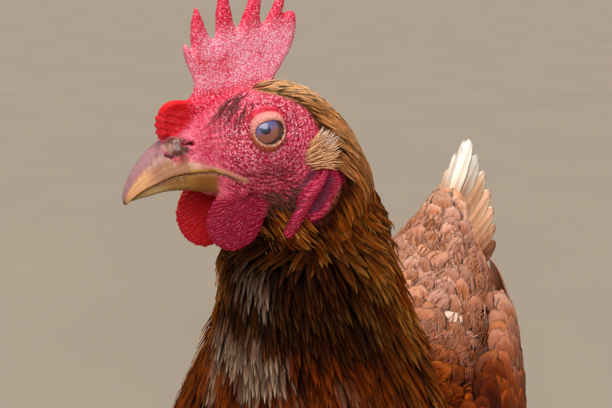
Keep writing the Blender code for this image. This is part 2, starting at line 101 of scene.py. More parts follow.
def soft_noise(p: Array, cell: float, seed: int) -> Array:
    """Smooth noise from -1 to 1.

    Args:
        p: points, (n, 3).
        cell: size of its lumps, in the points' unit.
        seed: which pattern.

    Returns:
        A value for each point.
    """
    q = p / cell
    base = np.floor(q)
    f = q - base
    f = f * f * (3 - 2 * f)
    total = np.zeros(len(p))
    for corner in np.ndindex(2, 2, 2):
        weight = np.prod(np.where(np.array(corner) == 1, f, 1 - f), axis=1)
        total += weight * lattice(base + np.array(corner), seed)
    return total * 2 - 1


def beads(p: Array, cell: float, seed: int) -> Array:
    """Round bumps packed over a surface.

    Args:
        p: points, (n, 3).
        cell: spacing of the bumps, in the points' unit.
        seed: which pattern.

    Returns:
        The height at each point: 1 at a bump's top, 0 between bumps.
    """
    q = p / cell
    base = np.floor(q)
    near = np.full(len(p), 9.0)
    for step in np.ndindex(3, 3, 3):
        c = base + np.array(step) - 1
        spot = c + np.stack([lattice(c, seed + k) for k in (1, 2, 3)], axis=-1)
        near = np.minimum(near, ((q - spot) ** 2).sum(axis=1))
    return np.clip(1 - near / 0.62, 0, 1)


@dataclass(frozen=True)
class Place:
    """A position and heading, in which sizes are given forward, left and up in millimetres."""

    origin: Triple
    yaw: float = 0.0
    pitch: float = 0.0

    def axes(self) -> Array:
        """Rows: the forward, left and up directions."""
        y, p = math.radians(self.yaw), math.radians(self.pitch)
        forward = (-math.sin(y) * math.cos(p), -math.cos(y) * math.cos(p), -math.sin(p))
        left = (math.cos(y), -math.sin(y), 0.0)
        return np.array([forward, left, np.cross(forward, left)])

    def out(self, local: Array) -> Array:
        """Points given forward, left and up in mm, as world points in metres."""
        return np.asarray(local, float) * MM @ self.axes() + np.array(self.origin)

    def inside(self, world: Array) -> Array:
        """World points in metres, as forward, left and up in mm."""
        return (world - np.array(self.origin)) @ self.axes().T / MM


def cad_middle(node: str) -> Array:
    """The middle of a CAD node's box."""
    low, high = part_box(node)
    return np.array((low + high) / 2)


HEAD_YAW, HEAD_PITCH = 43.0, 5.0
EYE_FORWARD, EYE_UP, EYE_OUT, EYE_RADIUS = 0.4, 0.0, 9.5, 7.4


def head_place() -> Place:
    """The head's place, from the middle between the two eyes."""
    turned = Place((0, 0, 0), HEAD_YAW, HEAD_PITCH)
    middle = (cad_middle("eye_left") + cad_middle("eye_right")) / 2
    return Place(tuple(middle - turned.out((EYE_FORWARD, 0, EYE_UP))), HEAD_YAW, HEAD_PITCH)


HEAD = head_place()
BODY = Place(tuple(np.array(HEAD.origin) - np.array((-10, -97, 375)) * MM))


def neck(yaw: float) -> Place:
    """The neck's place, turned about its upright axis."""
    return Place(tuple(np.array(BODY.origin) + np.array((0, -74, 0)) * MM), yaw)


# ---- meshes
def new_mesh(name: str, points: Array, faces: Iterable[Sequence[int]]) -> Mesh:
    """A mesh with its normals pointing outwards.

    Args:
        name: the mesh's name.
        points: vertices, (n, 3).
        faces: tuples of vertex numbers.

    Returns:
        The mesh.
    """
    mesh = bpy.data.meshes.new(name)
    mesh.from_pydata([tuple(p) for p in points], [], [tuple(f) for f in faces])
    bm = bmesh.new()
    bm.from_mesh(mesh)
    bmesh.ops.recalc_face_normals(bm, faces=bm.faces)
    bm.to_mesh(mesh)
    bm.free()
    return mesh


def link(name: str, data: bpy.types.ID) -> Object:
    """A new object in the scene, for a mesh, a light or a camera.

    Args:
        name: the object's name.
        data: what it shows.

    Returns:
        The object.
    """
    obj = bpy.data.objects.new(name, data)
    bpy.context.scene.collection.objects.link(obj)
    return obj


def drop(*objects: Object) -> None:
    """Removes objects that were only needed while making others."""
    for obj in objects:
        bpy.data.objects.remove(obj)


def coords(mesh: Mesh) -> Array:
    """The vertices' places.

    Args:
        mesh: the mesh.

    Returns:
        Points, (n, 3).
    """
    flat = np.empty(len(mesh.vertices) * 3)
    mesh.vertices.foreach_get("co", flat)
    return flat.reshape(-1, 3)


def set_coords(mesh: Mesh, points: Array) -> None:
    """Moves the vertices to these places."""
    mesh.vertices.foreach_set("co", np.asarray(points, np.float32).ravel())
    mesh.update()


def normals(mesh: Mesh) -> Array:
    """The vertices' normals.

    Args:
        mesh: the mesh.

    Returns:
        Directions, (n, 3).
    """
    flat = np.empty(len(mesh.vertices) * 3, np.float32)
    mesh.vertex_normals.foreach_get("vector", flat)
    return flat.reshape(-1, 3).astype(float)


def relax(mesh: Mesh, rounds: int) -> None:
    """Evens out a mesh: each vertex goes half way to the middle of its neighbours.

    Args:
        mesh: the mesh.
        rounds: how many times.
    """
    edges = np.empty(len(mesh.edges) * 2, np.int64)
    mesh.edges.foreach_get("vertices", edges)
    a, b = edges.reshape(-1, 2).T
    points = coords(mesh)
    count = len(points)
    degree = np.maximum(np.bincount(a, minlength=count) + np.bincount(b, minlength=count), 1)
    for _ in range(rounds):
        sums = [np.bincount(a, v[b], count) + np.bincount(b, v[a], count) for v in points.T]
        points = points + 0.5 * (np.stack(sums, axis=1) / degree[:, None] - points)
    set_coords(mesh, points)


def put_attribute(mesh: Mesh, name: str, values: Array) -> None:
    """Stores a number or a vector for each vertex.

    Args:
        mesh: the mesh that gets them.
        name: what they're called.
        values: (n,) or (n, 3).
    """
    kind = "FLOAT" if np.ndim(values) == 1 else "FLOAT_VECTOR"
    key = "value" if kind == "FLOAT" else "vector"
    made = mesh.attributes.new(name, kind, "POINT")
    made.data.foreach_set(key, np.asarray(values, np.float32).ravel())


def applied(obj: Object, name: str) -> Mesh:
    """The object's evaluated mesh as a plain mesh; the object is removed.

    Args:
        obj: an object with modifiers.
        name: the new mesh's name.

    Returns:
        The mesh.
    """
    graph = bpy.context.evaluated_depsgraph_get()
    seen = obj.evaluated_get(graph)
    mesh = bpy.data.meshes.new_from_object(seen, preserve_all_data_layers=True, depsgraph=graph)
    mesh.name = name
    drop(obj)
    return mesh


def voxelled(name: str, meshes: Sequence[Mesh], size: float, rounds: int) -> Mesh:
    """Closed meshes melted into one even skin.

    Args:
        name: the new mesh's name.
        meshes: closed meshes that overlap.
        size: edge of the new faces, in mm.
        rounds: how often it's evened out.

    Returns:
        The new mesh.
    """
    bm = bmesh.new()
    for mesh in meshes:
        bm.from_mesh(mesh)
    joined = bpy.data.meshes.new(name)
    bm.to_mesh(joined)
    bm.free()
    obj = link(name, joined)
    remesh = obj.modifiers.new("melt", "REMESH")
    remesh.mode = "VOXEL"
    remesh.voxel_size = size * MM
    remesh.use_smooth_shade = True
    melted = applied(obj, name)
    relax(melted, rounds)
    return melted


def united(name: str, meshes: Sequence[Mesh]) -> Mesh:
    """Closed meshes joined into one surface, keeping each one's own faces where they show.

    Args:
        name: the new mesh's name.
        meshes: closed meshes that overlap.

    Returns:
        The new mesh.
    """
    base = link(name, meshes[0])
    others = []
    for mesh in meshes[1:]:
        other = link(mesh.name, mesh)
        cut = base.modifiers.new("join", "BOOLEAN")
        cut.operation, cut.solver, cut.object = "UNION", "MANIFOLD", other
        others.append(other)
    mesh = applied(base, name)
    drop(*others)
    return mesh


def node_copy(nodes: Sequence[str], grow: float) -> Mesh:
    """CAD nodes as one mesh, merged and moved outwards.

    Args:
        nodes: the nodes' names.
        grow: how far, in mm; below 0 they shrink.

    Returns:
        A mesh that may overlap itself.
    """
    bm = bmesh.new()
    for node in nodes:
        one = bmesh.new()
        one.from_mesh(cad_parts[node].data)
        bmesh.ops.remove_doubles(one, verts=one.verts, dist=0.01 * MM)
        mesh = bpy.data.meshes.new(node + "_copy")
        one.to_mesh(mesh)
        one.free()
        set_coords(mesh, coords(mesh) + normals(mesh) * grow * MM)
        bm.from_mesh(mesh)
        bpy.data.meshes.remove(mesh)
    made = bpy.data.meshes.new("copies")
    bm.to_mesh(made)
    bm.free()
    return made


# ---- smooth lofts
def through(rings: Array, stations: Array) -> Array:
    """Rings of a smooth loft that passes through the given ones.

    Args:
        rings: the given rings, (count, around, 3).
        stations: which rings to return, by number, with fractions in between.

    Returns:
        Rings, (stations, around, 3).
    """
    stride = np.linalg.norm(np.diff(rings, axis=0), axis=2).mean(axis=1)
    slope = np.gradient(rings, np.concatenate([[0], np.cumsum(stride)]), axis=0)
    i = np.clip(np.floor(stations).astype(int), 0, len(stride) - 1)
    t, width = (stations - i)[:, None, None], stride[i][:, None, None]
    start = (1 + 2 * t) * (1 - t) ** 2 * rings[i] + t * (1 - t) ** 2 * width * slope[i]
    end = t * t * (3 - 2 * t) * rings[i + 1] - t * t * (1 - t) * width * slope[i + 1]
    return start + end


def oval(centre: Array, tall: Array, wide: Array, angles: Array, square: float, keel: float = 0) -> Array:
    """Points round a rounded oval.

    Args:
        centre: its middle.
        tall: from the middle to the point at angle 0.
        wide: from the middle to the point at a quarter turn.
        angles: radians.
        square: 2 for an ellipse, more for squarer sides.
        keel: how much wider the oval is near angle 0 than opposite.

    Returns:
        Points, (n, 3).
    """
    c, s = (np.sign(v) * np.abs(v) ** (2 / square) for v in (np.cos(angles), np.sin(angles)))
    return centre + c[:, None] * tall + (s * (1 + keel * c))[:, None] * wide


def around(count: int) -> Array:
    """Angles of so many points round a ring."""
    return np.arange(count) * 2 * np.pi / count


@dataclass(frozen=True)
class Section:
    """A slice of the body, from its point on the back to its point on the belly."""

    place: Place
    back: Pair
    belly: Pair
    half_width: float
    coat: float
    square: float = 2.0
    keel: float = 0.0

    def ring(self, angles: Array, depth: float) -> Array:
        """Points round the slice.

        Args:
            angles: radians.
            depth: the share of the coat's thickness to take off.

        Returns:
            Points, (n, 3).
        """
        back, belly = (self.place.out((p[0], 0, p[1])) for p in (self.back, self.belly))
        tall = (back - belly) / 2
        tall = tall * (1 - depth * self.coat * MM / np.linalg.norm(tall))
        wide = self.place.axes()[1] * (self.half_width - depth * self.coat) * MM
        return oval((back + belly) / 2, tall, wide, angles, self.square, self.keel)


BODY_TABLE = (
    (BODY, (-171, 297), (-167, 285), 4.5, 1.5),
    (BODY, (-160, 294), (-156, 255), 13, 4.0),
    (BODY, (-145, 289), (-146, 214), 25, 6.0),
    (BODY, (-121, 282), (-119, 167), 40, 7.0, 2.1),
    (BODY, (-88, 275), (-84, 134), 53, 7.0, 2.2),
    (BODY, (-48, 268), (-42, 121), 60, 6.5, 2.3, 0.03),
    (BODY, (-8, 266), (-2, 114), 64, 6.0, 2.3, 0.05),
    (BODY, (22, 269), (38, 116), 65, 6.0, 2.2, 0.07),
    (BODY, (35, 276), (80, 131), 64.5, 6.0, 2.1, 0.06),
    (BODY, (41, 287), (108, 164), 62, 5.8, 2.0, 0.04),
    (BODY, (45, 299), (120, 206), 55, 5.5, 2.0, 0.02),
    (neck(6), (-27, 313), (41, 248), 43.5, 5.0),
    (neck(14), (-26, 322), (35, 281), 36.5, 4.6),
    (neck(23), (-24.5, 334), (30.5, 308), 31.5, 4.2),
    (neck(33), (-22.5, 347), (26.5, 330), 29.5, 3.8),
    (HEAD, (-39.5, -18.5), (1, -40.5), 24.8, 3.2),
    (HEAD, (-34.2, -5), (5, -34), 20.4, 2.4),
    (HEAD, (-26, 4.5), (8, -29), 17, 1.3),
    (HEAD, (-17.5, 10.5), (10, -26), 16.4, 0.7, 2.1, -0.04),
    (HEAD, (-7.5, 13.2), (12, -24), 16.0, 0.3, 2.2, -0.06),
    (HEAD, (3, 12.5), (14.5, -22.6), 14.4, 0.0, 2.2, -0.10),
    (HEAD, (13, 9.5), (18, -20.6), 11.6, 0.0, 2.2, -0.12),
    (HEAD, (22, 5.2), (22, -18.8), 9.0, 0.0, 2.2, -0.12),
    (HEAD, (28, 1.6), (26, -17.4), 7.2, 0.0, 2.1, -0.08),
)
BODY_SECTIONS = tuple(Section(*row) for row in BODY_TABLE)
BILL_ROOT = 23.0  # number of the section where the bill starts


def body_rows(stations: Array, angles: Array, depth: float) -> Array:
    """Rings of trunk, neck and head; see through() and Section.ring()."""
    return through(np.stack([s.ring(angles, depth) for s in BODY_SECTIONS]), stations)


# Back from the feet, middle height, distance out, half height, half thickness.
WING_TABLE = (
    (-84, 226, 50, 10, 5),
    (-76, 224, 54, 26, 10),
    (-56, 220, 58.5, 38, 12.5),
    (-26, 217, 61, 43, 12.5),
    (12, 218, 60.5, 43, 12.5),
    (48, 222, 56, 39, 12),
    (80, 229, 50, 32, 10.5),
    (108, 238, 42, 24, 8),
    (132, 247, 34, 16, 6),
    (150, 253, 27, 8, 3.5),
    (158, 255, 24, 2.5, 1.6),
)
WING_LEAN = 6.0
FEET_BACK = 6.0
# Out from the middle, back from the feet, height, half width, half depth fore and aft.
THIGH_TABLE = (
    (36, -6, 172, 25, 46),
    (38, -2, 148, 25, 42),
    (39.5, 4, 127, 19, 30),
    (40, 10, 110, 12.5, 18),
    (40, 14, 98, 8.0, 9.5),
)


def wing_rows(stations: Array, angles: Array, inset: float, side: int) -> Array:
    """Rings of a folded wing from the shoulder to the tip.

    Args:
        stations: row numbers of WING_TABLE, with fractions.
        angles: radians, from the top round by the outside.
        inset: how far inside the tips of the feathers, in mm.
        side: 1 for the left wing and -1 for the right.

    Returns:
        World points, (stations, angles, 3).
    """
    lean = math.radians(WING_LEAN)
    rings = []
    for back, height, out, half_height, half_thickness in WING_TABLE:
        tall = np.array((0, -math.sin(lean), math.cos(lean))) * max(half_height - inset, 1)
        wide = np.array((0, math.cos(lean), math.sin(lean))) * max(half_thickness - inset, 0.6)
        flip = np.array((1, side, 1))
        centre = np.array((-back, out, height)) * flip
        rings.append(BODY.out(oval(centre, tall * flip, wide * flip, angles, 2.2)))
    return through(np.stack(rings), stations)


def thigh_rows(stations: Array, angles: Array, inset: float, side: int) -> Array:
    """Rings of a feathered thigh from the top down.

    Args:
        stations: row numbers of THIGH_TABLE, with fractions.
        angles: radians, from the front round by the outside.
        inset: how far inside the tips of the feathers, in mm.
        side: 1 for the left thigh and -1 for the right.

    Returns:
        World points, (stations, angles, 3).
    """
    rings = []
    for out, back, height, wide, deep in THIGH_TABLE:
        centre = (-back - FEET_BACK, out * side, height)
        fore, beside = np.array((deep - inset, 0, 0)), np.array((0, (wide - inset) * side, 0))
        rings.append(BODY.out(oval(np.array(centre), fore, beside, angles, 2.0)))
    return through(np.stack(rings), stations)


def strand(path: Array, radii: Array, flat: float, side: Array, count: int = 14) -> Array:
    """Rings of a tube along a path.

    Args:
        path: points, (n, 3).
        radii: radius at each.
        flat: the tube's thickness as a share of its width.
        side: a direction that the tube's flat faces look along.
        count: points in each ring.

    Returns:
        Rings, (n, count, 3).
    """
    ahead = unit(np.gradient(path, axis=0))
    wide = unit(np.cross(ahead, side))
    thick = np.cross(wide, ahead)
    a = around(count)
    return (
        path[:, None]
        + np.cos(a)[None, :, None] * (wide * radii[:, None])[:, None]
        + np.sin(a)[None, :, None] * (thick * radii[:, None] * flat)[:, None]
    )


def shell(name: str, rows: Array) -> Mesh:
    """A closed mesh over rows of rings."""
    points, faces = closed_tube(rows)
    return new_mesh(name, points, faces)


def closed_tube(rows: Array) -> tuple[Array, list[tuple[int, ...]]]:
    """A skin over rows of rings, closed at both ends.

    Args:
        rows: rings, (count, around, 3).

    Returns:
        Its points and its faces.
    """
    count, ring = rows.shape[:2]
    faces = [
        (i * ring + j, i * ring + k, (i + 1) * ring + k, (i + 1) * ring + j)
        for i in range(count - 1)
        for j, k in zip(range(ring), list(range(1, ring)) + [0])
    ]
    first, last = count * ring, count * ring + 1
    for j in range(ring):
        k = (j + 1) % ring
        faces += [(k, j, first), ((count - 1) * ring + j, (count - 1) * ring + k, last)]
    ends = np.stack([rows[0].mean(axis=0), rows[-1].mean(axis=0)])
    return np.concatenate([rows.reshape(-1, 3), ends]), faces


# ---- node trees
Value = "Wire | float | tuple | str"


@dataclass(frozen=True)
class Wire:
    """A value that runs between the nodes of a tree, with arithmetic for numbers.

    least() and most() give the smaller and the larger of two numbers; size() drops the sign.
    """

    tree: "Tree"
    socket: bpy.types.NodeSocket

    def math(self, operation: str, *others: Value) -> "Wire":
        """What a Math node makes of the number."""
        return self.tree.math(operation, self, *others)

    __add__ = __radd__ = partialmethod(math, "ADD")
    __sub__ = partialmethod(math, "SUBTRACT")
    __mul__ = __rmul__ = partialmethod(math, "MULTIPLY")
    __neg__ = partialmethod(math, "MULTIPLY", -1.0)
    __truediv__ = partialmethod(math, "DIVIDE")
    __pow__ = partialmethod(math, "POWER")
    size = partialmethod(math, "ABSOLUTE")
    sine = partialmethod(math, "SINE")
    least = partialmethod(math, "MINIMUM")
    most = partialmethod(math, "MAXIMUM")

    def __rsub__(self, other: Value) -> "Wire":
        """Another number less this one."""
        return self.tree.math("SUBTRACT", other, self)

    def __rtruediv__(self, other: Value) -> "Wire":
        """Another number over this one."""
        return self.tree.math("DIVIDE", other, self)

    def ease(self, low: float, high: float) -> "Wire":
        """A smooth step, also with high below low.

        Args:
            low: where it's 0.
            high: where it's 1.

        Returns:
            The step.
        """
        a, b, start, end = (low, high, 0.0, 1.0) if low < high else (high, low, 1.0, 0.0)
        inputs = {"Value": self, "From Min": a, "From Max": b, "To Min": start, "To Max": end}
        return self.tree.out("ShaderNodeMapRange", inputs, "Result", interpolation_type="SMOOTHSTEP")

    def parts(self) -> tuple["Wire", "Wire", "Wire"]:
        """The three numbers of a vector."""
        node = self.tree.node("ShaderNodeSeparateXYZ", {"Vector": self})
        return tuple(Wire(self.tree, s) for s in node.outputs)


@dataclass(frozen=True)
class Tree:
    """A node tree that is being written, for a material or for Geometry Nodes."""

    nodes: NodeTree

    def node(self, kind: str, inputs: dict, **settings: str | bool) -> bpy.types.Node:
        """A new node.

        Args:
            kind: its type name.
            inputs: wires or constants, by the socket's name or number.
            settings: properties, set before the inputs.

        Returns:
            The node.
        """
        made = self.nodes.nodes.new(kind)
        for key, value in settings.items():
            setattr(made, key, value)
        for key, value in inputs.items():
            socket = pick(made.inputs, key)
            if isinstance(value, Wire):
                self.nodes.links.new(value.socket, socket)
            else:
                socket.default_value = value
        return made

    def out(self, kind: str, inputs: dict, output: str | int = 0, **settings: str | bool) -> Wire:
        """A new node's output; the arguments are as for node()."""
        return Wire(self, pick(self.node(kind, inputs, **settings).outputs, output))

    def math(self, operation: str, *values: Value) -> Wire:
        """A number from a Math node."""
        return self.out("ShaderNodeMath", dict(enumerate(values)), operation=operation)

    def vector(self, operation: str, *values: Value) -> Wire:
        """A vector, or a number, from a Vector Math node."""
        return self.out("ShaderNodeVectorMath", dict(enumerate(values)), operation=operation)

    def scaled(self, vector: Value, amount: Value) -> Wire:
        """A vector times a number."""
        return self.vector("SCALE", vector, amount)

    def length(self, vector: Value) -> Wire:
        """The length of a vector."""
        return self.vector("LENGTH", vector)

    def join(self, x: Value, y: Value, z: Value) -> Wire:
        """A vector of three numbers."""
        return self.out("ShaderNodeCombineXYZ", {0: x, 1: y, 2: z})

    def mix(self, amount: Value, first: Value, second: Value, blend: str = "MIX") -> Wire:
        """A colour between two.

        Args:
            amount: 0 for the first, 1 for the second.
            first: a colour, or its code.
            second: a colour, or its code.
            blend: how the second lies on the first.

        Returns:
            The colour.
        """
        first, second = (paint(c) if isinstance(c, str) else c for c in (first, second))
        inputs = {"Factor": amount, "A": first, "B": second}
        settings = {"data_type": "RGBA", "blend_type": blend, "clamp_factor": True}
        return self.out("ShaderNodeMix", inputs, "Result", **settings)

    def layers(self, colour: Value, *over: tuple[Value, Value]) -> Value:
        """A colour with others laid over it in turn.

        Args:
            colour: the lowest.
            over: the share and the colour of each layer.

        Returns:
            The colour.
        """
        for share, layer in over:
            colour = self.mix(share, colour, layer)
        return colour

    def dimmed(self, colour: Wire, light: Wire) -> Wire:
        """A colour times a number."""
        return self.mix(1.0, colour, self.join(light, light, light), "MULTIPLY")

    def attribute(self, name: str, output: str = "Fac") -> Wire:
        """A number, or with output Vector a vector, that the mesh carries."""
        return self.out("ShaderNodeAttribute", {}, output, attribute_name=name)

    def noise(self, at: Value, scale: float, detail: float = 2, rough: float = 0.5) -> Wire:
        """Smooth noise from 0 to 1."""
        inputs = {"Vector": at, "Scale": scale, "Detail": detail, "Roughness": rough}
        return self.out("ShaderNodeTexNoise", inputs, "Fac")

    def cells(self, at: Value, scale: float) -> Wire:
        """The distance to the nearest of scattered points."""
        return self.out("ShaderNodeTexVoronoi", {"Vector": at, "Scale": scale}, "Distance")

    def place(self) -> Wire:
        """The place in the object's own space, in metres."""
        return self.out("ShaderNodeTexCoord", {}, "Object")

    def head(self, at: Wire) -> tuple[Wire, Wire, Wire]:
        """A place as mm forward, left and up from the middle of the head."""
        local = self.scaled(self.vector("SUBTRACT", at, HEAD.origin), 1 / MM)
        return tuple(self.vector("DOT_PRODUCT", local, tuple(axis)) for axis in HEAD.axes())

    def bump(self, height: Value, distance: float, strength: float = 1.0) -> Wire:
        """A normal that follows a height, whose full step is the distance in metres."""
        return self.out("ShaderNodeBump", {"Height": height, "Distance": distance, "Strength": strength})


def pick(sockets: bpy.types.bpy_prop_collection, key: str | int) -> bpy.types.NodeSocket:
    """The socket in use with that name, or that number.

    Args:
        sockets: a node's inputs or outputs.
        key: its name or number.

    Returns:
        The socket.
    """
    if isinstance(key, int):
        return [s for s in sockets if s.enabled][key]
    return next(s for s in sockets if s.name == key and s.enabled)


def paint(code: str) -> tuple[float, float, float, float]:
    """The linear colour that nodes take.

    Args:
        code: a colour code such as "8a4a12".

    Returns:
        Red, green, blue and 1.
    """
    parts = [int(code[k : k + 2], 16) / 255 for k in (0, 2, 4)]
    linear = [c / 12.92 if c <= 0.04045 else ((c + 0.055) / 1.055) ** 2.4 for c in parts]
    return (*linear, 1.0)


@dataclass(frozen=True)
class Finish:
    """A material: each kind says in draw() what its Principled shader takes."""

    name: str

    def make(self) -> Material:
        """The material."""
        made = bpy.data.materials.new(self.name)
        made.use_nodes = True
        made.node_tree.nodes.clear()
        tree = Tree(made.node_tree)
        shader = tree.out("ShaderNodeBsdfPrincipled", self.draw(tree))
        tree.node("ShaderNodeOutputMaterial", {"Surface": shader})
        return made

    def draw(self, tree: Tree) -> dict:
        """Inputs of the shader.

        Args:
            tree: the material's tree.

        Returns:
            Wires and values, by the socket's name.
        """
        raise NotImplementedError


# ---- finishes
def plumage(tree: Tree, at: Wire) -> tuple[Wire, Wire]:
    """The markings of the plumage, shared by the skin and the feathers.

    Args:
        tree: the material's tree.
        at: a place on the hen, in metres.

    Returns:
        The colour of a feather there, and the paler colour of its edge.
    """
    x, y, z = at.parts()
    ahead, _, up = tree.head(at)
    back = y - BODY.origin[1]
    patch, fine = tree.noise(at, 34, 2), tree.noise(at, 120, 2)
    base = tree.mix(patch.ease(0.35, 0.65), "401000", "702600")
    edge = tree.mix(patch.ease(0.35, 0.65), "802c00", "b4540c")
    saddle = z.ease(0.232, 0.262) * back.ease(-0.03, 0.03)
    saddle_base = tree.mix(fine.ease(0.35, 0.65), "a05c38", "b9806a")
    saddle_edge = tree.mix(patch.ease(0.4, 0.62), "cc8650", "deaf9c")
    hackle = (z + y * 0.35).ease(0.222, 0.258) * back.ease(0.0, -0.03)
    hackle_base = tree.mix(fine.ease(0.35, 0.65), "4c1a00", "883a02")
    hackle_edge = tree.mix(fine.ease(0.42, 0.62), "a85208", "eca64c")
    nape = z.ease(0.355, 0.38) * hackle
    crown = up.ease(6, 11) * ahead.ease(-30, -20)
    # painted shade on the front of the neck and on the breast, under the head
    throat_shade = back.ease(-0.076, -0.092) * z.ease(0.352, 0.33) * z.ease(0.292, 0.302)
    breast = back.ease(-0.072, -0.09) * z.ease(0.314, 0.304)
    spots = breast * tree.noise(at, 42, 1).ease(0.5, 0.6) * z.ease(0.25, 0.272)
    spots = spots * x.ease(0.028, 0.018) * x.ease(-0.031, -0.023)
    pale = spots.most(tree.length(tree.vector("SUBTRACT", at, PALE_SPOT)).ease(0.011, 0.004))
    flecks = back.ease(-0.03, 0.0) * z.ease(0.268, 0.25) * z.ease(0.225, 0.24)
    flecks = flecks * tree.noise(at, 80, 0).ease(0.72, 0.78)
    tail = back.ease(0.12, 0.16) * z.ease(0.25, 0.27)
    tips = z.ease(0.286, 0.30) * back.ease(0.14, 0.17)
    # where, then share and colour for the feather, and for its edge
    layers = (
        (saddle, 1.0, saddle_base, 1.0, saddle_edge),
        (hackle, 1.0, hackle_base, 1.0, hackle_edge),
        # painted shade: the neck's feathers darker lower down
        (z.ease(0.335, 0.302) * hackle, 0.6, "280c00", 0.6, "7a3604"),
        (nape, 0.75, "c87e40", 0.9, "fad09a"),
        (crown, 0.9, "e8a868", 1.0, "ffead0"),
        # painted shade on the throat
        (throat_shade, 0.9, "160700", 0.9, "341404"),
        # painted shade: the front of the breast darker
        (breast, 0.8, "521c00", 0.8, "8a3a04"),
        (pale, 0.8, "70503a", 0.9, "bca48e"),
        (z.ease(0.16, 0.115), 0.6, "9a6234", 0.6, "cfa478"),
        (tail, 0.6, "dca47a", 0.6, "ffdab4"),
        ((flecks * 0.55).most(tips * 0.9), 1.0, "f4e2cc", 1.0, "fffaf0"),
    )
    base = tree.layers(base, *((row[0] * row[1], row[2]) for row in layers))
    return base, tree.layers(edge, *((row[0] * row[3], row[4]) for row in layers))


PALE_SPOT = tuple(np.array(BODY.origin) + np.array((-9, -102, 326)) * MM)


@dataclass(frozen=True)
class FeatherFinish(Finish):
    """The look of one coat's feathers, along and across each vane."""

    rim: float = 0.6
    tip: float = 0.3
    # painted shade: how much darker each feather is towards its root, partly its own darker base
    painted_shade: float = 0.7
    streak: float = 0.35
    barbs: float = 40.0
    rough: float = 0.55
    vary: float = 0.5

    def draw(self, tree: Tree) -> dict:
        """Inputs of the shader.

        Args:
            tree: the material's tree.

        Returns:
            Wires and values, by the socket's name.
        """
        base, edge = plumage(tree, tree.attribute("root_place", "Vector"))
        across, along, _ = tree.attribute("vane", "Vector").parts()
        tone = tree.attribute("tone")
        side = across.size()
        strands = tree.noise(tree.join(across * 5.2, along * 1.1 + tone * 40, tone * 90), 2.4, 3, 0.7)
        barb = ((along * self.barbs - side * self.barbs * 0.35) * math.tau).sine()
        rim = (side.ease(0.35, 1.0) * self.rim + along.ease(0.6, 1.0) * self.tip) * (strands * 1.2 + 0.4)
        colour = tree.mix(rim.least(1.0), base, edge)
        light = 0.95 + (tone - 0.5) * self.vary + (strands - 0.5) * self.streak * 2 + barb * 0.05
        # painted shade: each feather darker towards its root, where the feathers over it shade it; partly the
        # feathers' own darker bases
        light = light * (1 - along.ease(0.6, 0.05) * self.painted_shade) * (1 - side.ease(0.12, 0.0) * 0.14)
        light = light.most(0.03)
        return {
            "Base Color": tree.dimmed(colour, light),
            "Roughness": self.rough + strands * 0.15,
            "Specular IOR Level": 0.05,
            "Normal": tree.bump(strands + barb * 0.25, 0.0002, 0.5),
        }


@dataclass(frozen=True)
class PaleFinish(Finish):
    """Short hair-like feathers: a root colour, a tip colour and streaks, paler towards one side, partly their
    own paler tips and partly painted highlight.
    """

    root: str
    tip: str
    rise: float = 0.9
    middle: Pair = (0.0, 0.0)
    heading: Pair = (0.0, 0.0)

    def draw(self, tree: Tree) -> dict:
        """Inputs of the shader.

        Args:
            tree: the material's tree.

        Returns:
            Wires and values, by the socket's name.
        """
        across, along, _ = tree.attribute("vane", "Vector").parts()
        ahead, _, up = tree.head(tree.attribute("root_place", "Vector"))
        tone = tree.attribute("tone")
        strands = tree.noise(tree.join(across * 2, along, tone * 90), 3, 2)
        # paler towards the heading: partly the hairs' own pale tips, partly painted highlight from light
        # behind and above
        place = (ahead - self.middle[0]) * self.heading[0] + (up - self.middle[1]) * self.heading[1]
        tip = (along.ease(0.1, 1.0) * self.rise + tone * 0.5 - 0.3 + place).least(1.0).most(0.0)
        light = 0.8 + strands * 0.6
        colour = tree.mix(tip, self.root, self.tip)
        return {
            "Base Color": tree.dimmed(colour, light),
            "Roughness": 0.55 + strands * 0.2,
            "Normal": tree.bump(strands, 0.0002, 0.5),
        }


SKIN_MASKS = "bare comb smooth hang inner lid crease root flap rim lip under dark leg".split()


OPENING_SHADE = "3a1810"  # painted shade: the near-black in the nostrils' openings and in the gap of the mouth


def root_skin(tree: Tree, at: Wire) -> Wire:
    """The smooth pink skin where the bill grows out of the face."""
    return tree.mix(tree.noise(at, 330, 3, 0.6).ease(0.38, 0.64), "ba1c40", "f08094")


def flap_skin(tree: Tree, at: Wire) -> Wire:
    """The purple-grey flap over the nostril."""
    return tree.mix(tree.noise(at, 190, 2, 0.6).ease(0.36, 0.62), "683c36", "b88a80")


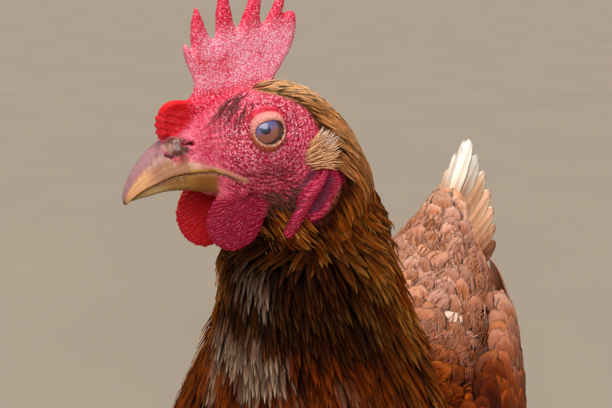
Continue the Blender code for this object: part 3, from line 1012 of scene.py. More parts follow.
@dataclass(frozen=True)
class SkinFinish(Finish):
    """Bare crimson skin on the face, scaled legs, and under the feathers the plumage's colour darkened as
    painted shade.
    """

    name: str = "skin"

    def draw(self, tree: Tree) -> dict:
        """Inputs of the shader.

        Args:
            tree: the material's tree.

        Returns:
            Wires and values, by the socket's name.
        """
        at = tree.place()
        ahead, left, up = tree.head(at)
        mask = {key: tree.attribute(key) for key in SKIN_MASKS}
        pebble = tree.attribute("pebble")
        broad, mottle = tree.noise(at, 110, 2), tree.noise(at, 420, 3, 0.6)
        speck = tree.noise(at, 1500, 2, 0.6)
        dots = tree.cells(at, 1500).ease(0.66, 0.2)
        # the face: rows of papillae in rings round the eye, their tops paler, partly their own colour and
        # partly painted highlight, with painted glints as white flecks on them
        eye = tree.length(tree.join(ahead - EYE_FORWARD, (up - EYE_UP) * 0.95, 0.0))
        rings = (eye * (math.tau / 1.35) + (mottle - 0.5) * 9).sine()
        raised = dots * 0.5 + rings * 0.16 + pebble * 0.3 + mottle * 0.2
        # painted glints: white flecks on the papillae, most round the eye
        flecks = speck.ease(0.47, 0.62) * eye.ease(21, 9) * (broad.ease(0.35, 0.6) * 0.6 + 0.4)
        # painted shade under the eye and along the jaw, broken into streaks like the fine hairs and wrinkles
        # there
        streaks = tree.noise(tree.join(ahead * 0.12, left * 0.12, up - ahead * 0.45), 0.9, 3, 0.6)
        painted_shade = up.ease(-4, -17) * ahead.ease(17, 6) * (0.2 + streaks.ease(0.4, 0.6) * 0.75)
        face = tree.layers(
            tree.mix(raised.ease(0.2, 0.85), "9c0c2e", "ff6a88"),
            (dots * flecks, "ffdce0"),
            (broad.ease(0.5, 0.7) * 0.4, "bc1034"),
            (ahead.ease(12, 17) * 0.45, tree.mix(mottle.ease(0.35, 0.65), "d02c50", "f27890")),
            (painted_shade.least(0.85), "5c1018"),
        )
        # the comb: pale in its middle, deeper on the spikes; its grains paler on top, partly painted
        # highlight, with painted white glints
        grains = tree.cells(at, 1700).ease(0.6, 0.2)
        middle = up.ease(35, 27) * up.ease(11, 17) * broad.ease(0.25, 0.5)
        comb = tree.layers(
            tree.mix(middle, "d81038", "f8688c"),
            (grains * 0.85 + pebble * 0.15, tree.mix(middle, "ff5878", "ffd2de")),
            # painted glints on the comb's grains
            (grains * speck.ease(0.5, 0.62) * 0.65, "ffe4ea"),
        )
        # the wattles: fine creases, darker in them and pink-flecked on the ridges, partly their own lines and
        # partly painted shade and highlight; the far one smoother and brighter
        crease = ((up + ahead * 0.2 + (broad - 0.5) * 7) * (math.tau / 0.95) + (mottle - 0.5) * 7).sine()
        hang = tree.layers(
            tree.mix(crease.ease(-0.2, 0.9) * mottle.ease(0.36, 0.56), "900028", "ba2248"),
            (crease.ease(0.4, 1.0) * speck.ease(0.5, 0.66) * 0.6, "f090a8"),
            (left.ease(2, -3) * 0.92, "b40006"),
        )
        # the lids: fine folds that run out from the eye, with painted shade in their creases
        spokes = tree.math("ARCTAN2", up - EYE_UP, ahead - EYE_FORWARD)
        folds = (spokes * 26 + mottle * 16).sine().ease(-0.6, 1.0)
        upper = up.ease(-1.5, 2.0)
        edge = tree.length(tree.join((ahead - EYE_FORWARD) / 4.8, (up - EYE_UP) / 4.05, 0.0))
        lid = tree.layers(
            tree.mix(upper, "bc5a3e", "e09488"),
            (folds * 0.25, tree.mix(upper, "8a2c20", "cc6a64")),
            (edge.ease(1.22, 1.1) * (1 - upper) * speck.ease(0.4, 0.6), "f0c4ae"),
        )
        # beside the bill: the horny rim, the lip over the mouth, and the skin under it
        front = ahead.ease(22, 29)
        rim = tree.mix(front, tree.mix(broad.ease(0.4, 0.6), "cc7e78", "e6b8a0"), "bc8664")
        under = tree.mix(front, tree.mix(broad.ease(0.35, 0.65), "8c5624", "ac7c3c"), "9c6c32")
        lip = tree.mix(mottle.ease(0.4, 0.62), "9c6424", "cc9648")
        plate = tree.mix(pebble.ease(0.2, 0.8), "8a6a34", "d1ab5c")
        colour = tree.layers(
            # painted shade: skin under the feathers takes the plumage's colour, darkened
            tree.mix(0.6, plumage(tree, at)[0], "1e0c06"),
            (mask["bare"], face),
            (mask["comb"], comb),
            (mask["smooth"] * 0.97, tree.mix(mottle.ease(0.5, 0.75), "d60008", "f02038")),
            (mask["hang"], hang),
            # painted shade in the hollow of the earlobe, between its cords
            (mask["inner"] * 0.85, "5c2036"),
            (mask["lid"], lid),
            # painted shade: the crease above the upper lid a deeper red
            (mask["crease"] * 0.9, tree.mix(mottle.ease(0.4, 0.7), "b0021c", "d41434")),
            (mask["root"], root_skin(tree, at)),
            (mask["rim"], rim),
            (mask["under"], under),
            (mask["lip"], tree.mix(ahead.ease(12, 20), "cc8470", lip)),
            (mask["flap"], flap_skin(tree, at)),
            (mask["dark"], OPENING_SHADE),
            (mask["leg"], tree.mix(mottle.ease(0.4, 0.7) * 0.4, plate, "b88a4a")),
        )
        plain = 1 - mask["under"].most(mask["rim"]).most(mask["lip"]).most(mask["flap"]) * 0.85
        grain = (dots * 0.8 + mottle + speck * 0.4) * plain
        grain = grain + crease * mask["hang"] * 0.4 - folds * mask["lid"] * 0.6
        return {
            "Base Color": colour,
            "Roughness": 0.4 + mottle * 0.2 - mask["flap"] * 0.28,
            "Specular IOR Level": 0.22,
            "Subsurface Weight": 0.1,
            "Subsurface Radius": (1.0, 0.2, 0.15),
            "Subsurface Scale": 0.0012,
            "Normal": tree.bump(grain, 0.0002, 0.9),
        }


@dataclass(frozen=True)
class HornFinish(Finish):
    """The bill: pinkish grey along its ridge, cream to orange at its sides, olive below."""

    name: str = "horn"

    def draw(self, tree: Tree) -> dict:
        """Inputs of the shader, from the mesh's shares along and down, and half.

        Args:
            tree: the material's tree.

        Returns:
            Wires and values, by the socket's name.
        """
        along, down, lower = tree.attribute("bill", "Vector").parts()
        at = tree.place()
        grain, blotch = tree.noise(at, 700, 3, 0.6), tree.noise(at, 160, 3, 0.6)
        streak = tree.noise(tree.join(along * 1.2, down * 9, lower), 4, 3, 0.6)
        patch = along.ease(0.45, 0.62) * along.ease(0.92, 0.74) * down.ease(0.25, 0.45) * down.ease(0.85, 0.7)
        upper = tree.layers(
            tree.mix(down.ease(0.1, 0.6), "a07278", "bc8464"),
            # painted highlight: pale grey-white on the ridge near the root
            (along.ease(0.3, 0.12) * down.ease(0.3, 0.1) * 0.6, "d8d2d8"),
            (patch * 0.9, "f2b47c"),
            (down.ease(0.72, 0.9) * 0.85, "9c6224"),
            (down.ease(0.82, 0.95) * blotch.ease(0.42, 0.54), "4c2408"),
            (along.ease(0.88, 0.98) * 0.9, "4c4418"),
        )
        under = tree.layers(
            # a pale cream band along the middle of the lower bill, between darker bands above and below:
            # partly its own colour, partly painted highlight
            tree.mix(along.ease(0.3, 0.6), "a4753a", "d4b074"),
            (down.ease(0.6, 0.35) * 0.85, "84501a"),
            (down.ease(0.6, 0.95) * 0.8, "8c7038"),
            (along.ease(0.5, 1.0) * 0.8, "6a6a2a"),
        )
        flap = tree.attribute("flap")
        colour = tree.layers(
            tree.mix(lower, upper, under),
            (blotch.ease(0.46, 0.62) * down.ease(0.7, 0.2) * 0.6, "74424c"),
            (streak.ease(0.42, 0.72) * 0.45, "8a5438"),
            (grain.ease(0.6, 0.75) * 0.3, "e8d8cc"),
            (tree.attribute("root"), root_skin(tree, at)),
            (flap, flap_skin(tree, at)),
            # painted shade in the nostril's openings
            (tree.attribute("pit"), OPENING_SHADE),
        )
        return {
            "Base Color": colour,
            "Roughness": 0.22 + grain * 0.2 - flap * 0.1,
            "Specular IOR Level": 0.4,
            "Normal": tree.bump(grain + streak, 0.00015, 0.5),
        }


@dataclass(frozen=True)
class EyeFinish(Finish):
    """A wet eye: dark pupil and orange-brown iris under a painted reflection of the sky, blue on the pupil
    and blue-grey on the upper iris, and a dark outer ring.
    """

    name: str = "eye"
    pupil: float = 1.5
    iris: float = 4.9

    def draw(self, tree: Tree) -> dict:
        """Inputs of the shader, from the mesh's place in mm ahead, up and out.

        Args:
            tree: the material's tree.

        Returns:
            Wires and values, by the socket's name.
        """
        ahead, up, _ = tree.attribute("gaze", "Vector").parts()
        out = tree.length(tree.join(ahead, up, 0.0))
        rays = tree.noise(tree.vector("NORMALIZE", tree.join(ahead, up, 0.0)), 9, 3, 0.7)
        # painted reflection of the sky: the iris blue-grey over its upper part, paler lavender at the top
        level = up + 0.35 * ahead
        iris = tree.layers(
            tree.mix(level.ease(-2.4, 1.4), "9c5640", "6468a4"),
            (level.ease(1.0, 3.2) * 0.6, "a9add0"),
            (rays.ease(0.45, 0.7) * 0.3, "4a2c30"),
            (out.ease(3.9, self.iris), "2c1c22"),
        )
        # painted reflection of the sky: the pupil blue, paler towards its top
        pupil = tree.mix(level.ease(-1.2, 1.2), "060a1c", "1a3468")
        return {
            "Base Color": tree.mix(out.ease(self.pupil + 0.25, self.pupil - 0.2), iris, pupil),
            "Roughness": 0.35,
            "Coat Weight": 1.0,
            "Coat Roughness": 0.04,
        }


@dataclass(frozen=True)
class ClawFinish(Finish):
    """Pale horn that darkens towards the root."""

    name: str = "claw"

    def draw(self, tree: Tree) -> dict:
        """Inputs of the shader.

        Args:
            tree: the material's tree.

        Returns:
            Wires and values, by the socket's name.
        """
        grain = tree.noise(tree.place(), 500, 3)
        return {
            "Base Color": tree.mix(tree.attribute("along") * 0.8 + grain * 0.3, "6b5238", "cdb690"),
            "Roughness": 0.35 + grain * 0.15,
            "Normal": tree.bump(grain, 0.0001, 0.4),
        }


@dataclass(frozen=True)
class FloorFinish(Finish):
    """A plain pale floor."""

    name: str = "floor"

    def draw(self, tree: Tree) -> dict:
        """Inputs of the shader.

        Args:
            tree: the material's tree.

        Returns:
            Wires and values, by the socket's name.
        """
        return {
            "Base Color": tree.mix(tree.noise(tree.place(), 3, 4), "877b6e", "918577"),
            "Roughness": 0.95,
            "Specular IOR Level": 0.05,
        }


# ---- the skin
@dataclass(frozen=True)
class Pad:
    """A flat oval of bare skin that hangs from the head, narrower at its top."""

    name: str
    place: Triple
    half: Triple
    swing: float
    lean: float
    narrow: float

    def shape(self) -> Mesh:
        """The pad's closed mesh."""
        a, b = around(40), np.linspace(0.06, np.pi - 0.06, 28)
        x = np.sin(b)[:, None] * np.cos(a)[None]
        y = np.sin(b)[:, None] * np.sin(a)[None]
        z = np.broadcast_to(np.cos(b)[:, None], x.shape)
        taper = 1 - self.narrow * np.maximum(z, 0)
        local = np.stack([x * taper * self.half[0], y * self.half[2], z * self.half[1]], axis=-1)
        turn = Matrix.Rotation(math.radians(self.lean), 3, "X")
        turn = np.array(turn @ Matrix.Rotation(math.radians(self.swing), 3, "Y"))
        return shell(self.name, HEAD.out(local @ turn.T + np.array(self.place)))


@dataclass
class Skin:
    """The whole skin: bare and wrinkled on the face, plain under the feathers, scaled on the legs."""

    head_grain: float = 0.57
    body_grain: float = 4.0
    leg_grain: float = 1.2
    eye: Pair = (EYE_FORWARD, EYE_UP)
    opening: Pair = (4.8, 4.05)
    lids: Pair = (6.2, 7.1)
    lid_inner: float = 4.4
    lid_outer: float = 6.6
    ring_first: float = 6.7  # distance of the first wrinkle round the eye
    ring_step: float = 1.45
    leg_top: float = 0.098  # heights in metres: scaled skin ends, and the head's begins
    head_low: float = 0.3
    wattles: tuple[Pad, ...] = (
        Pad("wattle_left", (12.4, 8.8, -27.4), (10.6, 12.4, 1.45), -4, -8, 0.22),
        Pad("wattle_right", (17.6, -9.6, -29.0), (10.0, 12.6, 1.45), -6, 10, 0.22),
    )
    # The thick edges of an earlobe, in front and behind: the radius, and the line.
    edges: tuple = (
        (
            1.9,
            ((-18.4, 16.8, -13), (-15.2, 18.9, -17.4), (-9.4, 20.3, -22.2),
             (-4.2, 20.4, -28.6), (-0.6, 19.2, -34.4)),
        ),
        (
            1.6,
            ((-19.6, 16.4, -14.6), (-21.2, 18, -20), (-18.8, 19.2, -25.4),
             (-13.8, 19.8, -28.6), (-8.6, 19.4, -30)),
        ),
    )
    gape: tuple = ((17.6, 8.6, -16.2), (14.6, 10.2, -15.8), (11.2, 11.8, -17.6), (9.4, 12.4, -20.6))

    def build(self) -> Object:
        """The skin, of one closed surface, standing for every node of flesh."""
        parts = [self.head(), self.body(), *(self.leg(side) for side in SIDES.values())]
        mesh = united("skin", parts)
        points = coords(mesh)
        points[:, 2] = np.maximum(points[:, 2], 0)
        set_coords(mesh, points)
        self.mark(mesh)
        mesh.materials.clear()
        mesh.materials.append(SkinFinish().make())
        mesh.shade_smooth()
        return link("skin", mesh)

    def head(self) -> Mesh:
        """The head with comb, wattles and earlobes, down to the neck."""
        stations = np.linspace(16.2, BILL_ROOT, 80)
        parts = [shell("head", body_rows(stations, around(72), 1.0)), node_copy(["comb"], 0.0)]
        parts += [pad.shape() for pad in self.wattles]
        share = np.linspace(0, 1, 26)
        swell, taper = np.sin(np.pi * (0.12 + 0.76 * share)) ** 0.5, 0.75 + 0.7 * share
        for side in SIDES:
            lobe = Pad("lobe", (-12.4, 16.9 * side, -22.6), (4.6, 9.6, 1.9), -43, side * 8, 0.1)
            parts += [lobe.shape(), self.cord(self.gape, np.full(14, 1.25), 1.0, side)]
            parts += [self.cord(path, radius * swell * taper, 0.85, side) for radius, path in self.edges]
        mesh = voxelled("head", parts, self.head_grain, rounds=5)
        self.refine(mesh)
        set_coords(mesh, self.creased(mesh))
        return mesh

    def cord(self, path: Sequence, radii: Array, flat: float, side: int) -> Mesh:
        """A fleshy cord on one side of the head.

        Args:
            path: points in mm forward, left and up.
            radii: radius at even steps along it, in mm.
            flat: its thickness as a share of its width.
            side: 1 for the left side and -1 for the right.

        Returns:
            A closed mesh.
        """
        points = (np.array(path) * (1, side, 1))[:, None]
        points = through(points, np.linspace(0, len(path) - 1, len(radii)))[:, 0]
        return shell("cord", HEAD.out(strand(points, radii, flat, np.array((0, 1, 0)))))

    def near_eyes(self, local: Array) -> Array:
        """Distance from the nearer eye in mm: 4.4 at the rim of the lids, 6.6 where they end.

        Args:
            local: points in mm forward, left and up, (n, 3).

        Returns:
            Distances, (n,).
        """
        ahead, up = local[:, 0] - self.eye[0], local[:, 2] - self.eye[1]
        up = up * np.where(up > 0, 1 + 0.12 * ease(self.opening[0] - np.abs(ahead), 0.0, 3.0), 1.0)
        within, beyond = (np.hypot(ahead / wide, up / tall) for wide, tall in (self.opening, self.lids))
        band = (within - 1) / np.maximum(within - beyond, 1e-6) * (self.lid_outer - self.lid_inner)
        r = np.where(within < 1, within * self.lid_inner, self.lid_inner + band)
        r = np.where(beyond > 1, beyond * self.lid_outer, r)
        return np.where(np.abs(local[:, 1]) > 8, r, 99.0)

    def refine(self, mesh: Mesh) -> None:
        """Halves the faces round the eyes.

        Args:
            mesh: the head.
        """
        for reach in (7.6, 6.9):
            r = self.near_eyes(HEAD.inside(coords(mesh)))
            bm = bmesh.new()
            bm.from_mesh(mesh)
            bm.verts.ensure_lookup_table()
            edges = [e for e in bm.edges if min(r[v.index] for v in e.verts) < reach]
            bmesh.ops.subdivide_edges(bm, edges=edges, cuts=1, use_grid_fill=True)
            bmesh.ops.triangulate(bm, faces=[f for f in bm.faces if len(f.verts) > 4])
            bm.to_mesh(mesh)
            bm.free()

    def creased(self, mesh: Mesh) -> Array:
        """The head with lids, brow, nostrils, mouth and wrinkles worked in.

        Args:
            mesh: the head.

        Returns:
            Its vertices' new places, (n, 3).
        """
        points = coords(mesh)
        out = unit(HEAD.inside(points + normals(mesh)) - HEAD.inside(points))
        p = HEAD.inside(points)
        side = np.sign(p[:, 1])
        r = self.near_eyes(p)
        facing = ease(out[:, 1] * side, 0.2, 0.6)
        # rim of the lids: points near it are drawn onto it, so that its edge is clean
        close = np.abs(r - self.lid_inner) < 0.16
        pull = np.where(close, self.lid_inner / np.maximum(r, 0.1), 1.0)[:, None]
        p[:, [0, 2]] = self.eye + (p[:, [0, 2]] - self.eye) * pull
        r = np.where(close, self.lid_inner, r)
        flat = np.hypot(p[:, 0] - self.eye[0], (p[:, 2] - self.eye[1]) * 0.86)
        ball = EYE_OUT + np.sqrt(np.maximum(EYE_RADIUS**2 - flat**2, 0.5))
        lid = np.interp(
            r,
            (0, 4.15, 4.4, 4.62, 5.0, 5.6, 6.1, 6.6, 7.0, 8.2),
            (-1.2, -1.2, 0.02, 0.5, 0.85, 1.0, 0.85, 0.25, 0.35, 1.2),
        )
        hold = 1 - ease(r, 6.2, 8.4)
        level = np.where(r < 20, ball + lid, np.abs(p[:, 1]))
        p[:, 1] = side * (np.abs(p[:, 1]) * (1 - hold) + level * hold)
        moved = HEAD.out(p)
        forward, up = p[:, 0], p[:, 2]
        relief = np.zeros(len(p))
        spread = np.hypot(forward - self.eye[0], (up - self.eye[1]) * 0.95)
        turns = (spread - self.ring_first) / self.ring_step
        wave = np.cos(2 * np.pi * turns + 1.8 * soft_noise(p, 3.4, 5))
        broken = 0.6 + 0.4 * soft_noise(p, 2.2, 6)
        brow = np.exp(-(((spread - 9.4) / 1.5) ** 2)) * ease(up, 1.0, 5.0)
        relief += 0.9 * brow * facing
        relief += nostril(p) * facing
        folds, lips = mouth(p)
        relief += folds * facing
        comb, hang, bare = self.regions(p)
        cheek = bare * (1 - comb) * (1 - hang) * ease(r, 6.4, 7.6) * (1 - np.max(lips, axis=0))
        fan = np.arctan2(up + 2.0, 27.5 - forward) + 0.06 * soft_noise(p, 5.0, 17)
        fan = np.sin(fan * 2 * np.pi / 0.17) * ease(forward, 10, 15) * ease(forward, 24, 21) * ease(up, 6, 3)
        relief += 0.2 * fan * cheek
        relief += 0.24 * wave * broken * cheek * ease(forward, 18, 13)
        rear = 1 - self.lobe_front(p)
        relief += self.grain(p, comb) * (0.18 * comb * rear + 0.12 * hang + 0.11 * cheek)
        relief += comb * rear * 0.3 * soft_noise(p, 5.5, 21)
        arcs = up + forward * 0.25 + 1.4 * soft_noise(p, 6.0, 9)
        relief += hang * 0.13 * np.sin(arcs * 2 * np.pi / 1.5 + 1.2 * soft_noise(p, 3.4, 8))
        # crinkles on the thick front of the comb
        pleats = np.sin((up * 1.0 - forward * 0.35) * 2 * np.pi / 2.3 + 1.2 * soft_noise(p, 4.0, 31))
        front = comb * ease(forward, 17, 21) * ease(up, 9.5, 6.5)
        relief += 0.3 * pleats * front
        relief *= ease(r, 4.45, 5.2) * 0.999 + 0.001
        push = out * relief[:, None] * MM
        return moved + push @ HEAD.axes()

    def lobe_front(self, p: Array) -> Array:
        """Where the comb's thick front lobe is."""
        return ease(p[:, 0], 20, 24) * ease(p[:, 2], 7.0, 9.5)

    def grain(self, p: Array, comb: Array) -> Array:
        """Height of the small papillae, 0 to 1."""
        return beads(p, 1.15, 3) * (1 - 0.8 * self.lobe_front(p) * comb)

    def regions(self, p: Array) -> tuple[Array, Array, Array]:
        """Where the kinds of bare skin are, from 0 to 1.

        Args:
            p: points in mm forward, left and up, (n, 3).

        Returns:
            The comb, the hanging lobes, and all bare skin.
        """
        forward, side, up = p.T
        crown = np.interp(forward, (-30, -17.5, -7.5, 3, 13, 22, 30), (-4, 10.5, 13.2, 12.5, 9.5, 5, -2))
        comb = ease(up - crown, -1.5, 1.2) * ease(np.abs(side), 8.5, 6.0) * ease(forward, -21, -19)
        low = np.interp(forward, (-10, 2, 12, 22, 30), (-26, -22.8, -20.4, -19.2, -18.4))
        wattle = ease(up, low + 1, low - 1) * ease(forward, 1.2, 3.0) * ease(np.abs(side), 3.5, 6)
        wattle = wattle * ease(up, -44, -41)
        lobe = from_line(p[:, [0, 2]], ((-17.6, -16.5), (-11.5, -23.0), (-1.5, -33.5)))
        lobe = ease(lobe, 6.2, 4.8) * ease(np.abs(side), 14.6, 15.8)
        hang = np.maximum(wattle, lobe)
        rear = np.interp(
            up,
            (-40, -30, -23, -15, -9, -5.5, -1.6, 3.9, 6.8, 9.3, 10.9, 12.2, 14.5),
            (-3, -4, -7, -17, -18.6, -18.1, -17.4, -14.8, -11.3, -6.7, -2.5, 2.0, 0.0),
        )
        bare = ease(forward, rear - 1.5, rear + 1.0) * ease(up, -26.5, -22.5)
        return comb, hang, np.maximum(bare, np.maximum(comb, hang))

    def body(self) -> Mesh:
        """Trunk, neck, wings, thighs and the tail's root, under the feathers."""
        parts = [shell("trunk", body_rows(np.linspace(0.8, 16.8, 120), around(64), 1.0))]
        for side in SIDES:
            parts.append(shell("wing", wing_rows(np.linspace(0.3, 8.2, 50), around(40), 5.0, side)))
            parts.append(shell("thigh", thigh_rows(np.linspace(0.0, 4.0, 26), around(32), 4.0, side)))
        return voxelled("body", parts, self.body_grain, rounds=6)

    def leg(self, side: str) -> Mesh:
        """A shank and its toes with their pads and scale rings."""
        nodes = [f"shank_{side}"] + [f"toe_{toe}_{side}" for toe in TOES]
        return voxelled("leg", [node_copy(nodes, 0.25)], self.leg_grain, rounds=4)

    def mark(self, mesh: Mesh) -> None:
        """Stores where each kind of skin is, for the material.

        Args:
            mesh: the whole skin.
        """
        world = coords(mesh)
        p = HEAD.inside(world)
        r = self.near_eyes(p)
        near = (p[:, 0] > -32) & (world[:, 2] > self.head_low)
        comb, hang, bare = (v * near for v in self.regions(p))
        lips = mouth(p)[1]
        legs = world[:, 2] < self.leg_top
        nose = nostril(p)
        on_side = ease(np.abs(p[:, 1]), 2.0, 3.5)
        lobe = (p[:, 0] < 1) & (np.abs(p[:, 1]) > 15)
        cords = np.full(len(p), 9.0)
        for radius, path in self.edges:
            cords = np.minimum(cords, from_line(p[:, [0, 2]], [(q[0], q[2]) for q in path]) - radius)
        values = {
            "bare": bare,
            "comb": comb,
            "hang": hang,
            # the hollow between the earlobe's cords, where painted shade goes
            "inner": hang * lobe * ease(cords, -0.3, 0.5),
            "smooth": comb * np.maximum(self.lobe_front(p), 0.8 * ease(p[:, 0], 19, 23)),
            "lid": near * ease(r, self.lid_outer + 0.15, self.lid_outer - 0.35),
            # where painted shade goes in the valley between the upper lid and the brow
            "crease": near * ease(r, 6.5, 6.8) * ease(r, 8.2, 7.3) * ease(p[:, 2], 2.0, 5.0),
            "root": near * ease(p[:, 0], 20.0, 25.0) * ease(p[:, 2], -11, -9) * (1 - comb),
            "flap": near * on_side * ease(nose, 0.1, 0.4),
            "rim": near * on_side * lips[0],
            "lip": near * on_side * lips[1],
            "under": near * lips[2],
            # painted shade in the nostrils' openings and along the gap of the mouth
            "dark": near * on_side * np.maximum(ease(nose, -0.15, -0.5), mouth_line(p)),
            "leg": legs.astype(float),
            "pebble": np.where(legs, beads(world / MM, 2.2, 60), self.grain(p, comb)),
        }
        for name, value in values.items():
            put_attribute(mesh, name, value)


def from_line(spots: Array, path: Sequence[Pair]) -> Array:
    """Distance of points in a plane from a line through several points.

    Args:
        spots: points, (n, 2).
        path: the line's points.

    Returns:
        Distances, (n,).
    """
    near = np.full(len(spots), 1e9)
    for a, b in zip(path, path[1:]):
        a, b = np.array(a, float), np.array(b, float)
        t = np.clip((spots - a) @ (b - a) / ((b - a) @ (b - a)), 0, 1)
        near = np.minimum(near, np.linalg.norm(spots - a - t[:, None] * (b - a), axis=1))
    return near


MOUTH = (
    (44.6, -17.5), (40.5, -14.6), (36.2, -13.0), (32.9, -11.8), (29.3, -11.1), (25.6, -10.9),
    (21.9, -10.9), (18.3, -11.2), (14.7, -12.7), (11.1, -14.8), (9.6, -15.6),
)
HORN_EDGE = (
    (30.6, 4.0), (31.8, -0.2), (32.6, -2.7), (31.9, -4.9), (29.0, -5.8), (25.5, -6.8), (21.8, -7.9),
    (18.3, -8.9), (14.5, -10.8), (9.4, -13.9),
)


def nostril(p: Array) -> Array:
    """The flap over the nostril, and the openings at its edge.

    Args:
        p: points in mm forward, left and up, (n, 3).

    Returns:
        Height in mm, below 0 in the openings.
    """
    spots = p[:, [0, 2]]
    ahead, up = spots[:, 0] - 28.3, spots[:, 1] + 2.0
    flap = np.exp(-(np.hypot((ahead + up * 0.25) / 3.6, (up - ahead * 0.1) / 2.5) ** 4))
    rear = from_line(spots, ((26.2, -1.3), (23.6, -1.5)))
    front = from_line(spots, ((31.8, -3.9), (30.0, -4.7)))
    pits = np.exp(-((rear / 0.5) ** 2)) + np.exp(-((front / 0.45) ** 2))
    return 1.3 * flap - 1.8 * np.minimum(pits, 1)


def mouth(p: Array) -> tuple[Array, tuple[Array, Array, Array]]:
    """The mouth's groove and the lips.

    Args:
        p: points in mm forward, left and up, (n, 3).

    Returns:
        Height in mm; and where the horny rim, the lip and the lower lip are.
    """
    spots = p[:, [0, 2]]
    d = from_line(spots, MOUTH)
    above = spots[:, 1] > np.interp(spots[:, 0], *np.array(MOUTH)[::-1].T)
    ends = ease(spots[:, 0], 7.5, 10.5)
    edge = np.interp(spots[:, 0], *np.array(HORN_EDGE)[:2:-1].T)
    rim = above * ease(edge - spots[:, 1], -0.5, 0.2)
    under = ~above * ease(spots[:, 0], 15.8, 19.0) * ease(spots[:, 1], -19.0, -18.0)
    relief = 0.45 * rim * ease(d, 0.2, 0.9) + 0.4 * under * ease(d, 0.2, 0.9)
    relief -= 0.5 * np.exp(-((d / 0.4) ** 2))
    beside = from_line(spots, HORN_EDGE[3:])
    folds = above * (spots[:, 1] > edge) * np.exp(-((beside / 2.4) ** 2)) * ease(spots[:, 0], 31, 27)
    relief += 0.28 * folds * np.sin(beside * 2 * np.pi / 1.25 - 1.2)
    lip = above * ease(d, 1.9, 1.3)
    return relief * ends, (rim * ends, lip * ends, under)


def mouth_line(p: Array) -> Array:
    """Where the painted shade in the gap between the lips is, from 0 to 1."""
    return ease(from_line(p[:, [0, 2]], MOUTH), 0.55, 0.2) * ease(p[:, 0], 9.5, 12.5) * 0.9


@dataclass
class Heap:
    """Closed tubes gathered into one mesh, with values at their vertices."""

    points: list[Array] = field(default_factory=list)
    faces: list[tuple[int, ...]] = field(default_factory=list)
    values: dict[str, list[Array]] = field(default_factory=dict)
    count: int = 0

    def add(self, rows: Array, **values: Array) -> None:
        """One more tube.

        Args:
            rows: its rings, (rows, ring, 3).
            values: numbers or vectors for each point of the rings.
        """
        points, faces = closed_tube(rows)
        self.points.append(points)
        self.faces += [tuple(v + self.count for v in face) for face in faces]
        self.count += len(points)
        for name, value in values.items():
            value = np.broadcast_to(value, rows.shape[:2] + np.shape(value)[2:])
            ends = np.stack([value[0].mean(axis=0), value[-1].mean(axis=0)])
            flat = value.reshape((-1,) + value.shape[2:])
            self.values.setdefault(name, []).append(np.concatenate([flat, ends]))

    def piece(self, name: str, material: Material) -> Object:
        """The mesh as an object; a value named patch becomes its OFBake map.

        Args:
            name: the piece's name.
            material: its material.

        Returns:
            The piece.
        """
        mesh = new_mesh(name, np.concatenate(self.points), self.faces)
        for key, parts in self.values.items():
            values = np.concatenate(parts)
            if key == "patch":
                corners = np.empty(len(mesh.loops), np.int64)
                mesh.loops.foreach_get("vertex_index", corners)
                layer = mesh.uv_layers.new(name="OFBake")
                layer.data.foreach_set("uv", values[corners].astype(np.float32).ravel())
            else:
                put_attribute(mesh, key, values)
        mesh.materials.append(material)
        mesh.shade_smooth()
        return link(name, mesh)


